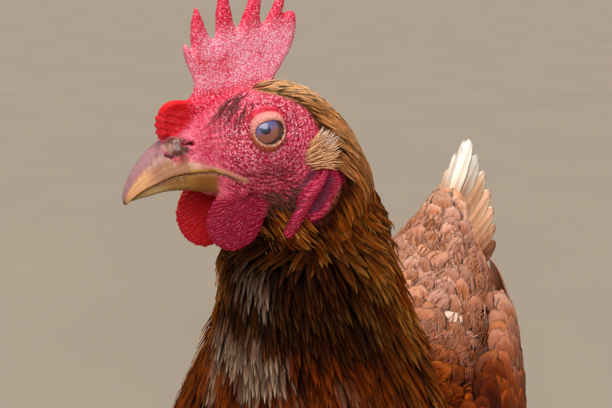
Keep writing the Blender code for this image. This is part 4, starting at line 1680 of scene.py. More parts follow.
# ---- bill, eyes, legs
@dataclass
class Bill:
    """The two halves of the horny bill: a hooked upper one over a shorter lower one."""

    # Ridge or chin, line of the mouth (each forward, up) and half width.
    upper: tuple = (
        ((22.6, 3.2), (22.0, -11.0), 7.4),
        ((25.6, 2.4), (24.6, -11.0), 7.5),
        ((28.4, 1.5), (26.9, -11.0), 7.3),
        ((32.6, -0.6), (30.9, -11.4), 6.4),
        ((37.2, -3.7), (35.4, -12.8), 5.5),
        ((41.3, -7.7), (39.6, -14.3), 4.3),
        ((44.3, -12.0), (42.8, -16.2), 3.0),
        ((46.0, -15.9), (44.9, -18.1), 1.5),
        ((46.1, -18.2), (45.5, -19.0), 0.4),
    )
    lower: tuple = (
        ((21.4, -10.6), (21.0, -17.6), 6.6),
        ((26.6, -10.6), (26.2, -17.5), 6.5),
        ((30.3, -10.9), (30.0, -16.9), 5.7),
        ((34.6, -12.2), (34.4, -16.8), 4.8),
        ((38.6, -13.5), (38.6, -17.3), 3.7),
        ((41.6, -15.2), (41.6, -17.6), 2.5),
        ((44.2, -17.0), (44.2, -18.0), 1.1),
    )
    rows: int = 90
    ring: int = 88

    def build(self) -> Object:
        """The bill, in one piece."""
        heap = Heap()
        for half, table, keel in ((0, self.upper, -0.16), (1, self.lower, 0.12)):
            angles = around(self.ring)
            # the cutting edges are square, so that the halves close on each other
            square = np.where((np.cos(angles) < 0) == (half == 0), 7.0, 2.2)
            rings = []
            for ridge, line, width in table:
                top, low = (HEAD.out((q[0], 0, q[1])) for q in (ridge, line))
                wide = HEAD.axes()[1] * width * MM
                rings.append(oval((top + low) / 2, (top - low) / 2, wide, angles, square, keel))
            along = np.linspace(0, 1, self.rows)
            rows = through(np.stack(rings), along * (len(table) - 1))
            flat = rows.reshape(-1, 3)
            p = HEAD.inside(flat)
            nose = nostril(p) * ease(np.abs(p[:, 1]), 2.0, 3.5) * (1 - half)
            middle = np.repeat(rows.mean(axis=1), self.ring, axis=0)
            lines = 0.05 * np.sin(p[:, 0] * 2 * np.pi / 1.7 + soft_noise(p, 4, 3))
            flat = flat + unit(flat - middle) * ((nose + lines) * MM)[:, None]
            down = np.broadcast_to((1 - np.cos(angles)) / 2, rows.shape[:2])
            place = np.stack(np.broadcast_arrays(along[:, None], down, float(half)), axis=-1)
            inside = np.interp(p[:, 2], *np.array(HORN_EDGE)[5::-1, ::-1].T) - p[:, 0]
            root = ease(inside, -0.2, 0.3) * ease(p[:, 2], -6.6, -5.8)
            # pit: the nostril's openings, where painted shade goes
            values = {"flap": ease(nose, 0.1, 0.4), "pit": ease(nose, -0.2, -0.5), "root": root * (1 - half)}
            values = {key: value.reshape(down.shape) for key, value in values.items()}
            heap.add(flat.reshape(rows.shape), bill=place, **values)
        return heap.piece("bill", HornFinish().make())


@dataclass
class Eyes:
    """Both eyeballs, each with a clear bulge over the iris."""

    pupil_ahead: float = 1.8
    pupil_up: float = 1.1
    bulge: float = 0.45

    def build(self) -> Object:
        """The eyes, in one piece."""
        heap = Heap()
        polar, turn = np.linspace(0.02, np.pi - 0.02, 60), around(56)
        out = np.cos(polar)[:, None] * np.ones(len(turn))
        ahead = np.sin(polar)[:, None] * np.cos(turn)
        up = np.sin(polar)[:, None] * np.sin(turn)
        ball = np.stack([ahead, out, up], axis=-1) * EYE_RADIUS
        across = np.hypot(ball[..., 0], ball[..., 2])
        lift = self.bulge * np.clip(1 - (across / 4.8) ** 2, 0, 1) ** 2 * (out > 0)
        ball[..., 1] += lift
        for side in SIDES:
            local = ball * np.array((1, side, 1)) + np.array((EYE_FORWARD, EYE_OUT * side, EYE_UP))
            gaze = ball[..., [0, 2, 1]] - (self.pupil_ahead, self.pupil_up, 0)
            gaze[..., 0] += 20 * (out < 0)
            heap.add(HEAD.out(local), gaze=gaze)
        return heap.piece("eyes", EyeFinish().make())


# Heading from straight ahead towards the hen's own side, length, half width, and the claw's length.
TOES = {
    "inner": (-38, 34, 4.2, 13.0),
    "middle": (2, 48, 4.5, 15.0),
    "outer": (42, 38, 4.1, 12.0),
    "back": (-158, 18, 3.7, 12.0),
}
FOOT_OUT, FOOT_AHEAD = 40.0, -2.0
TOE_PAD = 8.6  # how far a toe's flesh reaches beyond its length
# Back from the feet, height, half width and half depth of the shank.
SHANK = (
    (14.5, 97.2, 6.6, 7.2),
    (14, 90, 6.4, 7.4),
    (11, 76, 4.6, 5.6),
    (7, 54, 4.3, 5.2),
    (2, 32, 4.6, 5.6),
    (-1, 17, 6.2, 7.4),
)
UP = np.array((0, 0, 1))


@dataclass
class Legs:
    """The claws, and the plates on the fronts of the shanks and the tops of the toes."""

    plate: float = 5.2
    toe_plate: float = 3.4

    def claws(self) -> Object:
        """All eight claws, in one piece."""
        heap = Heap()
        share = np.linspace(0, 1, 22)
        for side in SIDES:
            for turn, length, half, claw in TOES.values():
                ahead, beside = self.ways(turn, side)
                start = np.array((FOOT_AHEAD, FOOT_OUT * side, 0)) + ahead * (length + TOE_PAD)
                centre = start + ahead * (claw + 0.6) * share[:, None]
                centre[:, 2] = 2.9 + 0.9 * np.sin(np.pi * share) - 2.1 * share**2
                radius = (half * 0.66 * (1 - share) ** 0.75 + 0.28)[:, None, None]
                a = around(18)[None, :, None]
                rings = centre[:, None] + radius * (np.sin(a) * beside * 0.8 + np.cos(a) * UP)
                rings[..., 2] = np.maximum(rings[..., 2], 0.05)
                heap.add(BODY.out(rings), along=share[:, None])
        return heap.piece("claws", ClawFinish().make())

    def ways(self, turn: float, side: int) -> tuple[Array, Array]:
        """A toe's direction and the one beside it, given its turn in degrees and its side."""
        ahead = np.array((math.cos(math.radians(turn)), math.sin(math.radians(turn)) * side, 0.0))
        return ahead, np.array((-ahead[1], ahead[0], 0.0))

    def plates(self) -> Object:
        """The plates, in one piece; each is a thin curved strip whose lower edge stands out."""
        heap = Heap()
        table = np.array(SHANK)[::-1]
        for side in SIDES:
            island = LEG_ISLANDS[side]
            for height in np.arange(15.0, 93.0, self.plate):
                back, wide, deep = (np.interp(height, table[:, 1], table[:, k]) for k in (0, 2, 3))
                centre = np.array((-back - FEET_BACK, FOOT_OUT * side, height))
                for middle in (-0.5, 0.5):
                    a = (np.linspace(-0.52, 0.52, 11) + middle) * 1.9
                    out = np.stack([np.cos(a) * (deep + 0.25), np.sin(a) * (wide + 0.25), 0 * a], axis=1)
                    root = island.at(0.8 + middle * 0.2, height / 100)
                    self.strip(heap, centre + out, unit(out), np.array((0, 0, -1.0)), self.plate, root)
            for k, (turn, length, half, _) in enumerate(TOES.values()):
                ahead, beside = self.ways(turn, side)
                for reach in np.arange(15.5, length + 8.5, self.toe_plate):
                    share = (reach - 5) / (length + 4)
                    radius = half * (1.08 - 0.33 * share)
                    centre = np.array((FOOT_AHEAD, FOOT_OUT * side, radius * 0.86)) + ahead * reach
                    a = np.linspace(-1.25, 1.25, 13)
                    ring = np.sin(a)[:, None] * beside + np.cos(a)[:, None] * UP
                    root = island.at(0.08 + k * 0.16, reach / 60)
                    self.strip(heap, centre + ring * (radius + 0.3), ring, ahead, self.toe_plate, root)
        return heap.piece("leg_plates", ScaleFinish().make())

    def strip(self, heap: Heap, line: Array, out: Array, along: Array, length: float, root: Array) -> None:
        """Adds one plate.

        Args:
            heap: the plates so far.
            line: points across its middle, in mm forward, left and up.
            out: the outward direction at each.
            along: the direction in which its free edge lies.
            length: its size along that direction.
            root: its place on the bake map.
        """
        t = np.linspace(-1, 1, len(line))
        half = length * 0.58 * np.sqrt(np.clip(1.05 - t**2, 0.02, 1))[:, None]
        low, high = line - along * half, line + along * half
        edge = (0.55 * np.sqrt(np.clip(1.02 - t**4, 0.02, 1)))[:, None]
        rings = np.stack(
            [
                low - out * 0.35,
                low * 0.6 + high * 0.4 + out * edge * 0.55,
                high * 0.8 + low * 0.2 + out * edge,
                high + out * edge * 0.7,
                high - out * 0.25,
                line - out * 0.5,
            ],
            axis=1,
        )
        shares = np.array((-0.5, -0.1, 0.3, 0.5, 0.2, -0.2))
        patch = np.stack(np.broadcast_arrays(t[:, None] / 2, shares[None]), axis=-1) * OFBAKE_PATCH
        heap.add(BODY.out(rings), patch=root + patch)


@dataclass(frozen=True)
class ScaleFinish(Finish):
    """The yellow plates of the legs."""

    name: str = "leg_plate"

    def draw(self, tree: Tree) -> dict:
        """Inputs of the shader.

        Args:
            tree: the material's tree.

        Returns:
            Wires and values, by the socket's name.
        """
        mottle, grain = tree.noise(tree.place(), 160, 3), tree.noise(tree.place(), 1100, 2)
        colour = tree.mix(mottle.ease(0.4, 0.65), "c79a4c", "dcbf7c")
        return {
            "Base Color": tree.mix(grain.ease(0.5, 0.75) * 0.4, colour, "9a743c"),
            "Roughness": 0.38 + mottle * 0.2,
            "Normal": tree.bump(grain + mottle, 0.00015, 0.6),
        }


# ---- feathers
class Vane(Enum):
    """Kinds of feather: half width at points along the vane, points round it, and how ragged."""

    HACKLE = ((0.1, 0.62, 0.96, 1.0, 0.62, 0.04), 3, 0.08)
    ROUND = ((0.1, 0.5, 0.82, 0.97, 1.0, 0.96, 0.78, 0.34), 7, 0.05)
    LOOSE = ((0.15, 0.55, 0.85, 1.0, 0.92, 0.8, 0.55, 0.3), 7, 0.12)
    HAIR = ((0.6, 1.0, 0.7, 0.08), 3, 0.05)

    def mesh(self, seed: int) -> Mesh:
        """One feather, 1 wide and 1 long, with its own place on the vane at each point.

        Args:
            seed: which feather of its kind.

        Returns:
            The mesh.
        """
        widths, ring, ragged = self.value
        chance = np.random.default_rng(seed)
        across = {3: (-1, 0, 1), 7: (-1, -0.55, 0, 0.55, 1, 0.5, -0.5)}[ring]
        high = {3: (0, 1, 0), 7: (-0.5, 0.4, 1.0, 0.4, -0.5, -0.6, -0.6)}[ring]
        bend = chance.uniform(-0.16, 0.16)
        heap = Heap()
        rows, place = [], []
        for k, (t, width) in enumerate(zip(np.linspace(0, 1, len(widths)), widths)):
            notch = 1 + ragged * (-1) ** k + chance.normal() * ragged * 0.5
            x = np.array(across) * width * notch
            y = t + ragged * chance.normal(size=ring) * ease(t, 0.3, 0.8) * 0.5
            rows.append(np.stack([x / 2 + bend * t**2, y, np.zeros(ring)], axis=1))
            place.append(np.stack([x, np.full(ring, t), np.array(high, float)], axis=1))
        heap.add(np.stack(rows), vane=np.stack(place))
        points = np.concatenate(heap.points)
        mesh = bpy.data.meshes.new(f"{self.name}_{seed}")
        mesh.from_pydata([tuple(p) for p in points], [], heap.faces)
        put_attribute(mesh, "vane", np.concatenate(heap.values["vane"]))
        return mesh


@dataclass
class FeatherTree:
    """The Geometry Nodes tree that lays feathers over a surface, like tiles on a roof.

    The surface carries, at its vertices: lie (where feathers point), skin_normal, skin_uv,
    size (width, length, thickness), depth (how far the tips stand off) and density.
    """

    variants: int = 3
    crowding: float = 2.6  # the most roots in a square as wide as the spacing
    stands: Pair = (0.72, 1.08)
    sizes: Pair = (0.8, 1.15)

    def make(self) -> NodeTree:
        """The tree, used by every coat."""
        group = bpy.data.node_groups.new("lay_feathers", "GeometryNodeTree")
        kinds = {"Geometry": "Geometry"}
        kinds |= {f"Feather {k}": "Object" for k in range(self.variants)}
        kinds |= {"Spacing": "Float", "Turn": "Float", "Seed": "Int", "Material": "Material"}
        for name, kind in kinds.items():
            group.interface.new_socket(name, in_out="INPUT", socket_type=f"NodeSocket{kind}")
        group.interface.new_socket("Geometry", in_out="OUTPUT", socket_type="NodeSocketGeometry")
        self.tree = Tree(group)
        given = self.tree.node("NodeGroupInput", {})
        self.given = {s.name: Wire(self.tree, s) for s in given.outputs if s.name}
        self.tree.node("NodeGroupOutput", {"Geometry": self.wrap(self.plant(self.scatter()))})
        return group

    def named(self, name: str, kind: str = "FLOAT_VECTOR") -> Wire:
        """A value that the geometry carries."""
        return self.tree.out("GeometryNodeInputNamedAttribute", {"Name": name}, "Attribute", data_type=kind)

    def stored(
        self, geometry: Wire, name: str, value: Wire, kind: str = "FLOAT_VECTOR", domain: str = "POINT"
    ) -> Wire:
        """The geometry with a value stored on it."""
        inputs = {"Geometry": geometry, "Name": name, "Value": value}
        return self.tree.out("GeometryNodeStoreNamedAttribute", inputs, data_type=kind, domain=domain)

    def chance(self, low: Value, high: Value, step: int, kind: str = "FLOAT") -> Wire:
        """A random number for each point."""
        inputs = {"Min": low, "Max": high, "Seed": self.given["Seed"] + step}
        return self.tree.out("FunctionNodeRandomValue", inputs, "Value", data_type=kind)

    def position(self) -> Wire:
        """Where each point is."""
        return self.tree.out("GeometryNodeInputPosition", {})

    def scatter(self) -> Wire:
        """Roots of the feathers, with what each feather needs to know."""
        spacing = self.given["Spacing"]
        spread = {
            "Mesh": self.given["Geometry"],
            "Distance Min": spacing,
            "Density Max": self.crowding / (spacing * spacing),
            "Density Factor": self.named("density", "FLOAT"),
            "Seed": self.given["Seed"],
        }
        kind = "GeometryNodeDistributePointsOnFaces"
        points = self.tree.out(kind, spread, "Points", distribute_method="POISSON")
        points = self.stored(points, "root_place", self.position())
        points = self.stored(points, "root_uv", self.named("skin_uv"))
        points = self.stored(points, "tone", self.chance(0.0, 1.0, 1), "FLOAT")
        stand = self.named("depth", "FLOAT") * self.chance(*self.stands, 2)
        return self.stored(points, "stand", stand, "FLOAT")

    def plant(self, points: Wire) -> Wire:
        """A feather at each root, turned the way that the coat lies.

        Args:
            points: the roots.

        Returns:
            The feathers, as plain geometry.
        """
        tree = self.tree
        choice = tree.node("GeometryNodeJoinGeometry", {})
        for k in reversed(range(self.variants)):
            kind = tree.out("GeometryNodeObjectInfo", {"Object": self.given[f"Feather {k}"]}, "Geometry")
            single = tree.out("GeometryNodeGeometryToInstance", {"Geometry": kind})
            tree.nodes.links.new(single.socket, choice.inputs[0])
        ways = {0: self.named("skin_normal"), 1: self.named("lie")}
        turn = tree.out("FunctionNodeAxesToRotation", ways, primary_axis="Z", secondary_axis="Y")
        sway = self.chance(-self.given["Turn"], self.given["Turn"], 3)
        sway = tree.out("FunctionNodeAxisAngleToRotation", {"Axis": (0, 0, 1), "Angle": sway})
        turns = {"Rotation": turn, "Rotate By": sway}
        planted = {
            "Points": points,
            "Instance": Wire(tree, choice.outputs[0]),
            "Pick Instance": True,
            "Instance Index": self.chance(0, self.variants - 1, 5, "INT"),
            "Rotation": tree.out("FunctionNodeRotateRotation", turns, rotation_space="LOCAL"),
            "Scale": tree.scaled(self.named("size"), self.chance(*self.sizes, 4)),
        }
        planted = tree.out("GeometryNodeInstanceOnPoints", planted)
        return tree.out("GeometryNodeRealizeInstances", {"Geometry": planted})

    def wrap(self, feathers: Wire) -> Wire:
        """The feathers bent over the surface, rising from their roots, with map and material.

        Args:
            feathers: the planted feathers.

        Returns:
            The coat.
        """
        tree, surface, at = self.tree, self.given["Geometry"], self.position()
        inputs = {0: surface, "Sample Position": at}
        near = tree.out("GeometryNodeProximity", inputs, "Position", target_element="FACES")
        inputs = {"Mesh": surface, "Value": self.named("skin_normal"), "Sample Position": at}
        normal = tree.out("GeometryNodeSampleNearestSurface", inputs, "Value", data_type="FLOAT_VECTOR")
        across, along, high = self.named("vane").parts()
        rise = 1 - (1 - along) ** 2.0
        height = self.named("stand", "FLOAT") * rise + high * self.named("size").parts()[2]
        place = tree.vector("ADD", near, tree.scaled(tree.vector("NORMALIZE", normal), height))
        feathers = tree.out("GeometryNodeSetPosition", {"Geometry": feathers, "Position": place})
        local = tree.join(across * (OFBAKE_PATCH / 2), (along - 0.5) * OFBAKE_PATCH, 0.0)
        spot = tree.vector("ADD", self.named("root_uv"), local)
        feathers = self.stored(feathers, "OFBake", spot, "FLOAT2", "CORNER")
        feathers = tree.out("GeometryNodeSetShadeSmooth", {0: feathers})
        return tree.out("GeometryNodeSetMaterial", {"Geometry": feathers, "Material": self.given["Material"]})


OFBAKE_PATCH = 0.003  # size of one feather on the bake map


@dataclass(frozen=True)
class Island:
    """A rectangle of the coat's map that one surface fills."""

    left: float
    low: float
    right: float
    high: float

    def at(self, u: Array, v: Array) -> Array:
        """Map places from shares across and up, (..., 2)."""
        across, up = self.left + u * (self.right - self.left), self.low + v * (self.high - self.low)
        return np.stack([across, up], axis=-1)


TRUNK_ISLAND = Island(0.02, 0.02, 0.62, 0.98)
WING_ISLANDS = {1: Island(0.65, 0.02, 0.8, 0.6), -1: Island(0.83, 0.02, 0.98, 0.6)}
THIGH_ISLANDS = {1: Island(0.65, 0.62, 0.73, 0.8), -1: Island(0.75, 0.62, 0.83, 0.8)}
TAIL_ISLAND = Island(0.65, 0.83, 0.98, 0.98)
LEG_ISLANDS = {1: Island(0.85, 0.62, 0.91, 0.8), -1: Island(0.92, 0.62, 0.98, 0.8)}


Profile = "float | dict[float, float] | Array"


def profile(value: Profile, stations: Array) -> Array:
    """A size over a grid.

    Args:
        value: one number, or a table by station, or the grid's own values.
        stations: the station of each point of the grid.

    Returns:
        The size at each point.
    """
    if isinstance(value, dict):
        return np.interp(stations, list(value), list(value.values()))
    return np.broadcast_to(np.asarray(value, float), stations.shape)


@dataclass
class Ground:
    """A surface for a coat: rings of points at stations, and where the coat lies on its map."""

    rows: Array
    lie: Array
    stations: Array
    island: Island
    span: Pair

    def __post_init__(self) -> None:
        """The station and the turn, from 0 to 1, of each point."""
        count, ring = self.rows.shape[:2]
        self.s = np.broadcast_to(self.stations[:, None], (count, ring))
        self.turn = np.broadcast_to(np.linspace(0, 1, ring), (count, ring))

    def mesh(self, size: Sequence[Profile], stand: Profile, density: Array) -> Mesh:
        """The surface as a mesh with the values that FeatherTree reads.

        Args:
            size: the feathers' width, length and thickness in mm.
            stand: how far tips stand off, in mm.
            density: from 0 to 1, for each point.

        Returns:
            The mesh.
        """
        count, ring = self.rows.shape[:2]
        faces = [
            (i * ring + j, i * ring + j + 1, (i + 1) * ring + j + 1, (i + 1) * ring + j)
            for i in range(count - 1)
            for j in range(ring - 1)
        ]
        mesh = bpy.data.meshes.new("ground")
        mesh.from_pydata([tuple(p) for p in self.rows.reshape(-1, 3)], [], faces)
        out = normals(mesh).reshape(self.rows.shape)
        if (out * (self.rows - self.rows.mean(axis=1, keepdims=True))).sum() < 0:
            mesh.flip_normals()
            out = -out
        out[:, 0] = out[:, -1] = unit(out[:, 0] + out[:, -1])
        up = np.linspace(*self.span, count)[:, None].repeat(ring, 1)
        uv = self.island.at(self.turn, up)
        sizes = np.stack([profile(v, self.s) for v in size], axis=-1)
        values = {
            "skin_normal": unit(out),
            "lie": unit(self.lie),
            "skin_uv": np.concatenate([uv, np.zeros(uv.shape[:2] + (1,))], axis=2),
            "size": sizes * MM,
        }
        for name, value in values.items():
            put_attribute(mesh, name, value.reshape(-1, 3))
        put_attribute(mesh, "depth", profile(stand, self.s).ravel() * MM)
        put_attribute(mesh, "density", np.clip(density, 0, 1).ravel())
        return mesh


# What a coat's mesh still carries when its feathers are laid.
KEPT = "vane tone root_place OFBake position sharp_face sharp_edge material_index".split()


@dataclass
class Coat:
    """Feathers of one kind over one part of the body; sizes in mm, fixed or by station."""

    name: str
    vane: Vane
    finish: Finish
    spacing: float
    turn: float
    seed: int
    width: Profile
    length: Profile
    thick: float
    stand: Profile

    def build(self, ground: Ground, density: Array, tree: NodeTree) -> Object:
        """The coat as one plain mesh.

        Args:
            ground: the surface that it lies on.
            density: from 0 to 1, for each of the ground's points.
            tree: the tree of FeatherTree.

        Returns:
            The piece.
        """
        size = (self.width, self.length, self.thick)
        obj = link(self.name, ground.mesh(size, self.stand, density))
        kinds = [link(f"vane_{k}", self.vane.mesh(self.seed * 10 + k)) for k in range(3)]
        lay = obj.modifiers.new("lay", "NODES")
        lay.node_group = tree
        given = {f"Feather {k}": kind for k, kind in enumerate(kinds)}
        given |= {"Spacing": self.spacing * MM, "Turn": self.turn, "Seed": self.seed * 100}
        given["Material"] = self.finish.make()
        for item in tree.interface.items_tree:
            if item.name in given:
                lay[item.identifier] = given[item.name]
        mesh = applied(obj, self.name)
        drop(*kinds)
        for name in [a.name for a in mesh.attributes if a.name not in KEPT and a.name[0] != "."]:
            mesh.attributes.remove(mesh.attributes[name])
        log.info("%s: %d faces", self.name, len(mesh.polygons))
        return link(self.name, mesh)


def sampled(grid: Array, s: Array, a: Array) -> Array:
    """Values of a grid between its points.

    Args:
        grid: (rows, columns, n), whose columns don't wrap.
        s: row places, from 0 to rows - 1.
        a: column places.

    Returns:
        Values, with the shape of s and then n.
    """
    s, a = np.clip(s, 0, grid.shape[0] - 1.001), np.clip(a, 0, grid.shape[1] - 1.001)
    i, j = s.astype(int), a.astype(int)
    x, y = (s - i)[..., None], (a - j)[..., None]
    low = grid[i, j] * (1 - y) + grid[i, j + 1] * y
    high = grid[i + 1, j] * (1 - y) + grid[i + 1, j + 1] * y
    return low * (1 - x) + high * x


@dataclass(frozen=True)
class Quill:
    """A long feather on a surface: where it starts and ends there, and how wide it is."""

    start: Pair
    end: Pair
    half: float
    lift: float
    tone: float


@dataclass
class Quills:
    """Long feathers, made one by one from a surface's own two directions."""

    surface: Callable[[Array, Array], tuple[Array, Array]]
    island: Island
    rows: int = 22
    thick: float = 0.35
    camber: float = 0.8
    widths: tuple[float, ...] = (0.35, 0.6, 0.85, 0.97, 1.0, 1.0, 1.0, 1.0, 0.95, 0.78, 0.3)

    def add(self, heap: Heap, quill: Quill) -> None:
        """Adds one feather.

        Args:
            heap: the feathers so far.
            quill: the new one.
        """
        t = np.linspace(0, 1, self.rows) ** 0.9
        top = np.array((-1, -0.8, -0.45, -0.12, 0, 0.12, 0.45, 0.8, 1.0))
        x = np.concatenate([top, top[::-1][1:-1] * 0.96])
        upper = np.concatenate([np.ones(len(top)), np.zeros(len(top) - 2)])
        width = np.interp(t, np.linspace(0, 1, len(self.widths)), self.widths)
        rng = np.random.default_rng(int(quill.tone * 1e6))
        width = width * (1 + 0.05 * rng.normal(size=len(t)) * (t > 0.15))
        s = quill.start[0] + (quill.end[0] - quill.start[0]) * t
        a = quill.start[1] + (quill.end[1] - quill.start[1]) * t
        a = a[:, None] + x[None] * (width * quill.half)[:, None]
        place, out = self.surface(np.broadcast_to(s[:, None], a.shape), a)
        shaft = 0.35 * np.exp(-((x / 0.1) ** 2)) * upper
        high = self.camber * (1 - x**2) * (1 - 0.4 * t[:, None]) + shaft + upper * self.thick
        rows = place + out * (high + quill.lift)[..., None] * MM
        middle = place[:, len(top) // 2]
        vane = np.stack(np.broadcast_arrays(x[None], t[:, None], upper[None]), axis=-1)
        share = np.array([(quill.start[0] + 1) / 12, quill.start[1] / 7 + 0.01])
        root = self.island.at(share[0] % 1, share[1] % 1)
        patch = root + np.stack([vane[..., 0] / 2, vane[..., 1] - 0.5], axis=-1) * OFBAKE_PATCH
        middle = np.repeat(middle[:, None], len(x), axis=1)
        heap.add(rows, vane=vane, tone=quill.tone, root_place=middle, patch=patch)


@dataclass
class Wing:
    """A folded wing: flight feathers along its lower edge, and the ground of its coverts."""

    side: int
    inset: float = 3.6
    secondaries: int = 11
    primaries: int = 6

    def surface(self, s: Array, a: Array) -> tuple[Array, Array]:
        """Places and outward directions on the wing, from station and angle."""
        at = s * self.per_station, a / math.tau * (self.grid.shape[1] - 1)
        return sampled(self.grid, *at), unit(sampled(self.out, *at))

    def __post_init__(self) -> None:
        """Tables of the wing's surface."""
        self.per_station = 12
        stations = np.linspace(0, 10, 10 * self.per_station + 1)
        angles = np.linspace(0, math.tau, 145)
        self.grid = wing_rows(stations, angles, self.inset, self.side)
        self.along = unit(np.gradient(self.grid, axis=0))
        across = unit(np.gradient(self.grid, axis=1))
        self.out = unit(np.cross(across, self.along)) * self.side

    def quills(self) -> Object:
        """The flight feathers, in one piece."""
        heap, plumes = Heap(), Quills(self.surface, WING_ISLANDS[self.side])
        rng = np.random.default_rng(70 + self.side)
        for k in range(self.primaries):
            share = k / (self.primaries - 1)
            start = (5.6, math.pi * (0.52 + 0.3 * share))
            end = (9.95 - 0.22 * k, math.pi * (0.46 + 0.1 * share))
            plumes.add(heap, Quill(start, end, 0.3, -0.6 - 0.25 * k, rng.uniform()))
        for k in range(self.secondaries):
            share = k / (self.secondaries - 1)
            start = (3.4 + 0.25 * share, math.pi * (0.26 + 0.62 * share))
            end = (9.0 - 0.75 * share, math.pi * (0.3 + 0.5 * share))
            lift = 0.24 * (self.secondaries - k) - 0.8
            plumes.add(heap, Quill(start, end, 0.24, lift, rng.uniform()))
        finish = FeatherFinish("quill", rim=0.5, tip=0.4, painted_shade=0.1, barbs=70)
        return heap.piece("wing_quills_" + SIDES[self.side], finish.make())

    def coverts(self, tree: NodeTree) -> Object:
        """The coverts: small at the shoulder, longer towards the tip.

        Args:
            tree: the tree of FeatherTree.

        Returns:
            The piece.
        """
        rows = slice(2, 76)
        stations = np.arange(2, 76) / self.per_station
        island = WING_ISLANDS[self.side]
        ground = Ground(self.grid[rows], self.along[rows], stations, island, (0.0, 0.65))
        open_side = ease(ground.turn, 0.66, 0.56) + ease(ground.turn, 0.94, 1.0)
        growth = ease(ground.s, 0.5, 5.5)
        finish = FeatherFinish("covert", rim=0.55, tip=0.55, painted_shade=0.45, barbs=36)
        name = "coat_wing_" + SIDES[self.side]
        coat = Coat(name, Vane.ROUND, finish, 5.6, 0.15, 11, 9 + 8 * growth, 15 + 17 * growth, 0.35, 3.4)
        return coat.build(ground, open_side * ease(ground.s, 6.2, 5.0), tree)


@dataclass
class Tail:
    """The short tented tail: two fans of feathers that meet along a ridge."""

    root: Pair = (104, 262)
    rise: float = 30.0
    length: float = 122.0
    shorter: float = 34.0
    fan: float = 30.0
    tent: float = 23.0
    root_half: float = 26.0
    feathers: int = 7
    depth: float = 2.6

    def surface(self, along: Array, across: Array) -> tuple[Array, Array]:
        """The surface of the fans.

        Args:
            along: 0 at the root, 1 at the tips.
            across: -1 to 1, from right to left.

        Returns:
            Places and outward directions.
        """
        side, share = np.sign(across), np.abs(across)
        rise, tent = math.radians(self.rise), math.radians(self.tent)
        axis = np.array((0, math.cos(rise), math.sin(rise)))
        up = np.array((0, -math.sin(rise), math.cos(rise)))
        beside = side[..., None] * np.array((1.0, 0, 0))
        down = -up * math.cos(tent) + beside * math.sin(tent)
        out = up * math.sin(tent) + beside * math.cos(tent)
        fan = np.radians(self.fan) * share
        reach = axis * np.cos(fan)[..., None] + down * np.sin(fan)[..., None]
        length = (self.length - self.shorter * share**1.4) * along
        ridge = 3.0 * (1 - np.minimum(1.0, share * 4)) ** 2
        bow = 3.5 * np.sin(math.pi * np.minimum(share, 1)) * along
        place = np.array((0, self.root[0], self.root[1])) + down * (self.root_half * share)[..., None]
        place = place + reach * length[..., None] + out * (bow - self.depth)[..., None]
        place = place - up * ridge[..., None]
        return place * MM + np.array(BODY.origin), out

    def quills(self) -> Object:
        """The tail feathers, in one piece."""
        heap = Heap()
        plumes = Quills(self.surface, TAIL_ISLAND, camber=0.5)
        rng = np.random.default_rng(9)
        for side in SIDES:
            for k in reversed(range(self.feathers)):
                a = side * (k + 0.5) / self.feathers
                tip = 0.985 - 0.012 * rng.uniform()
                lift = 0.2 * (self.feathers - k) + (0.6 if side > 0 and k == 0 else 0.0)
                plumes.add(heap, Quill((0.0, a), (tip, a), 0.105, lift, rng.uniform()))
        finish = FeatherFinish("tail_quill", rim=0.5, tip=0.5, painted_shade=0.0, barbs=90)
        return heap.piece("tail_quills", finish.make())


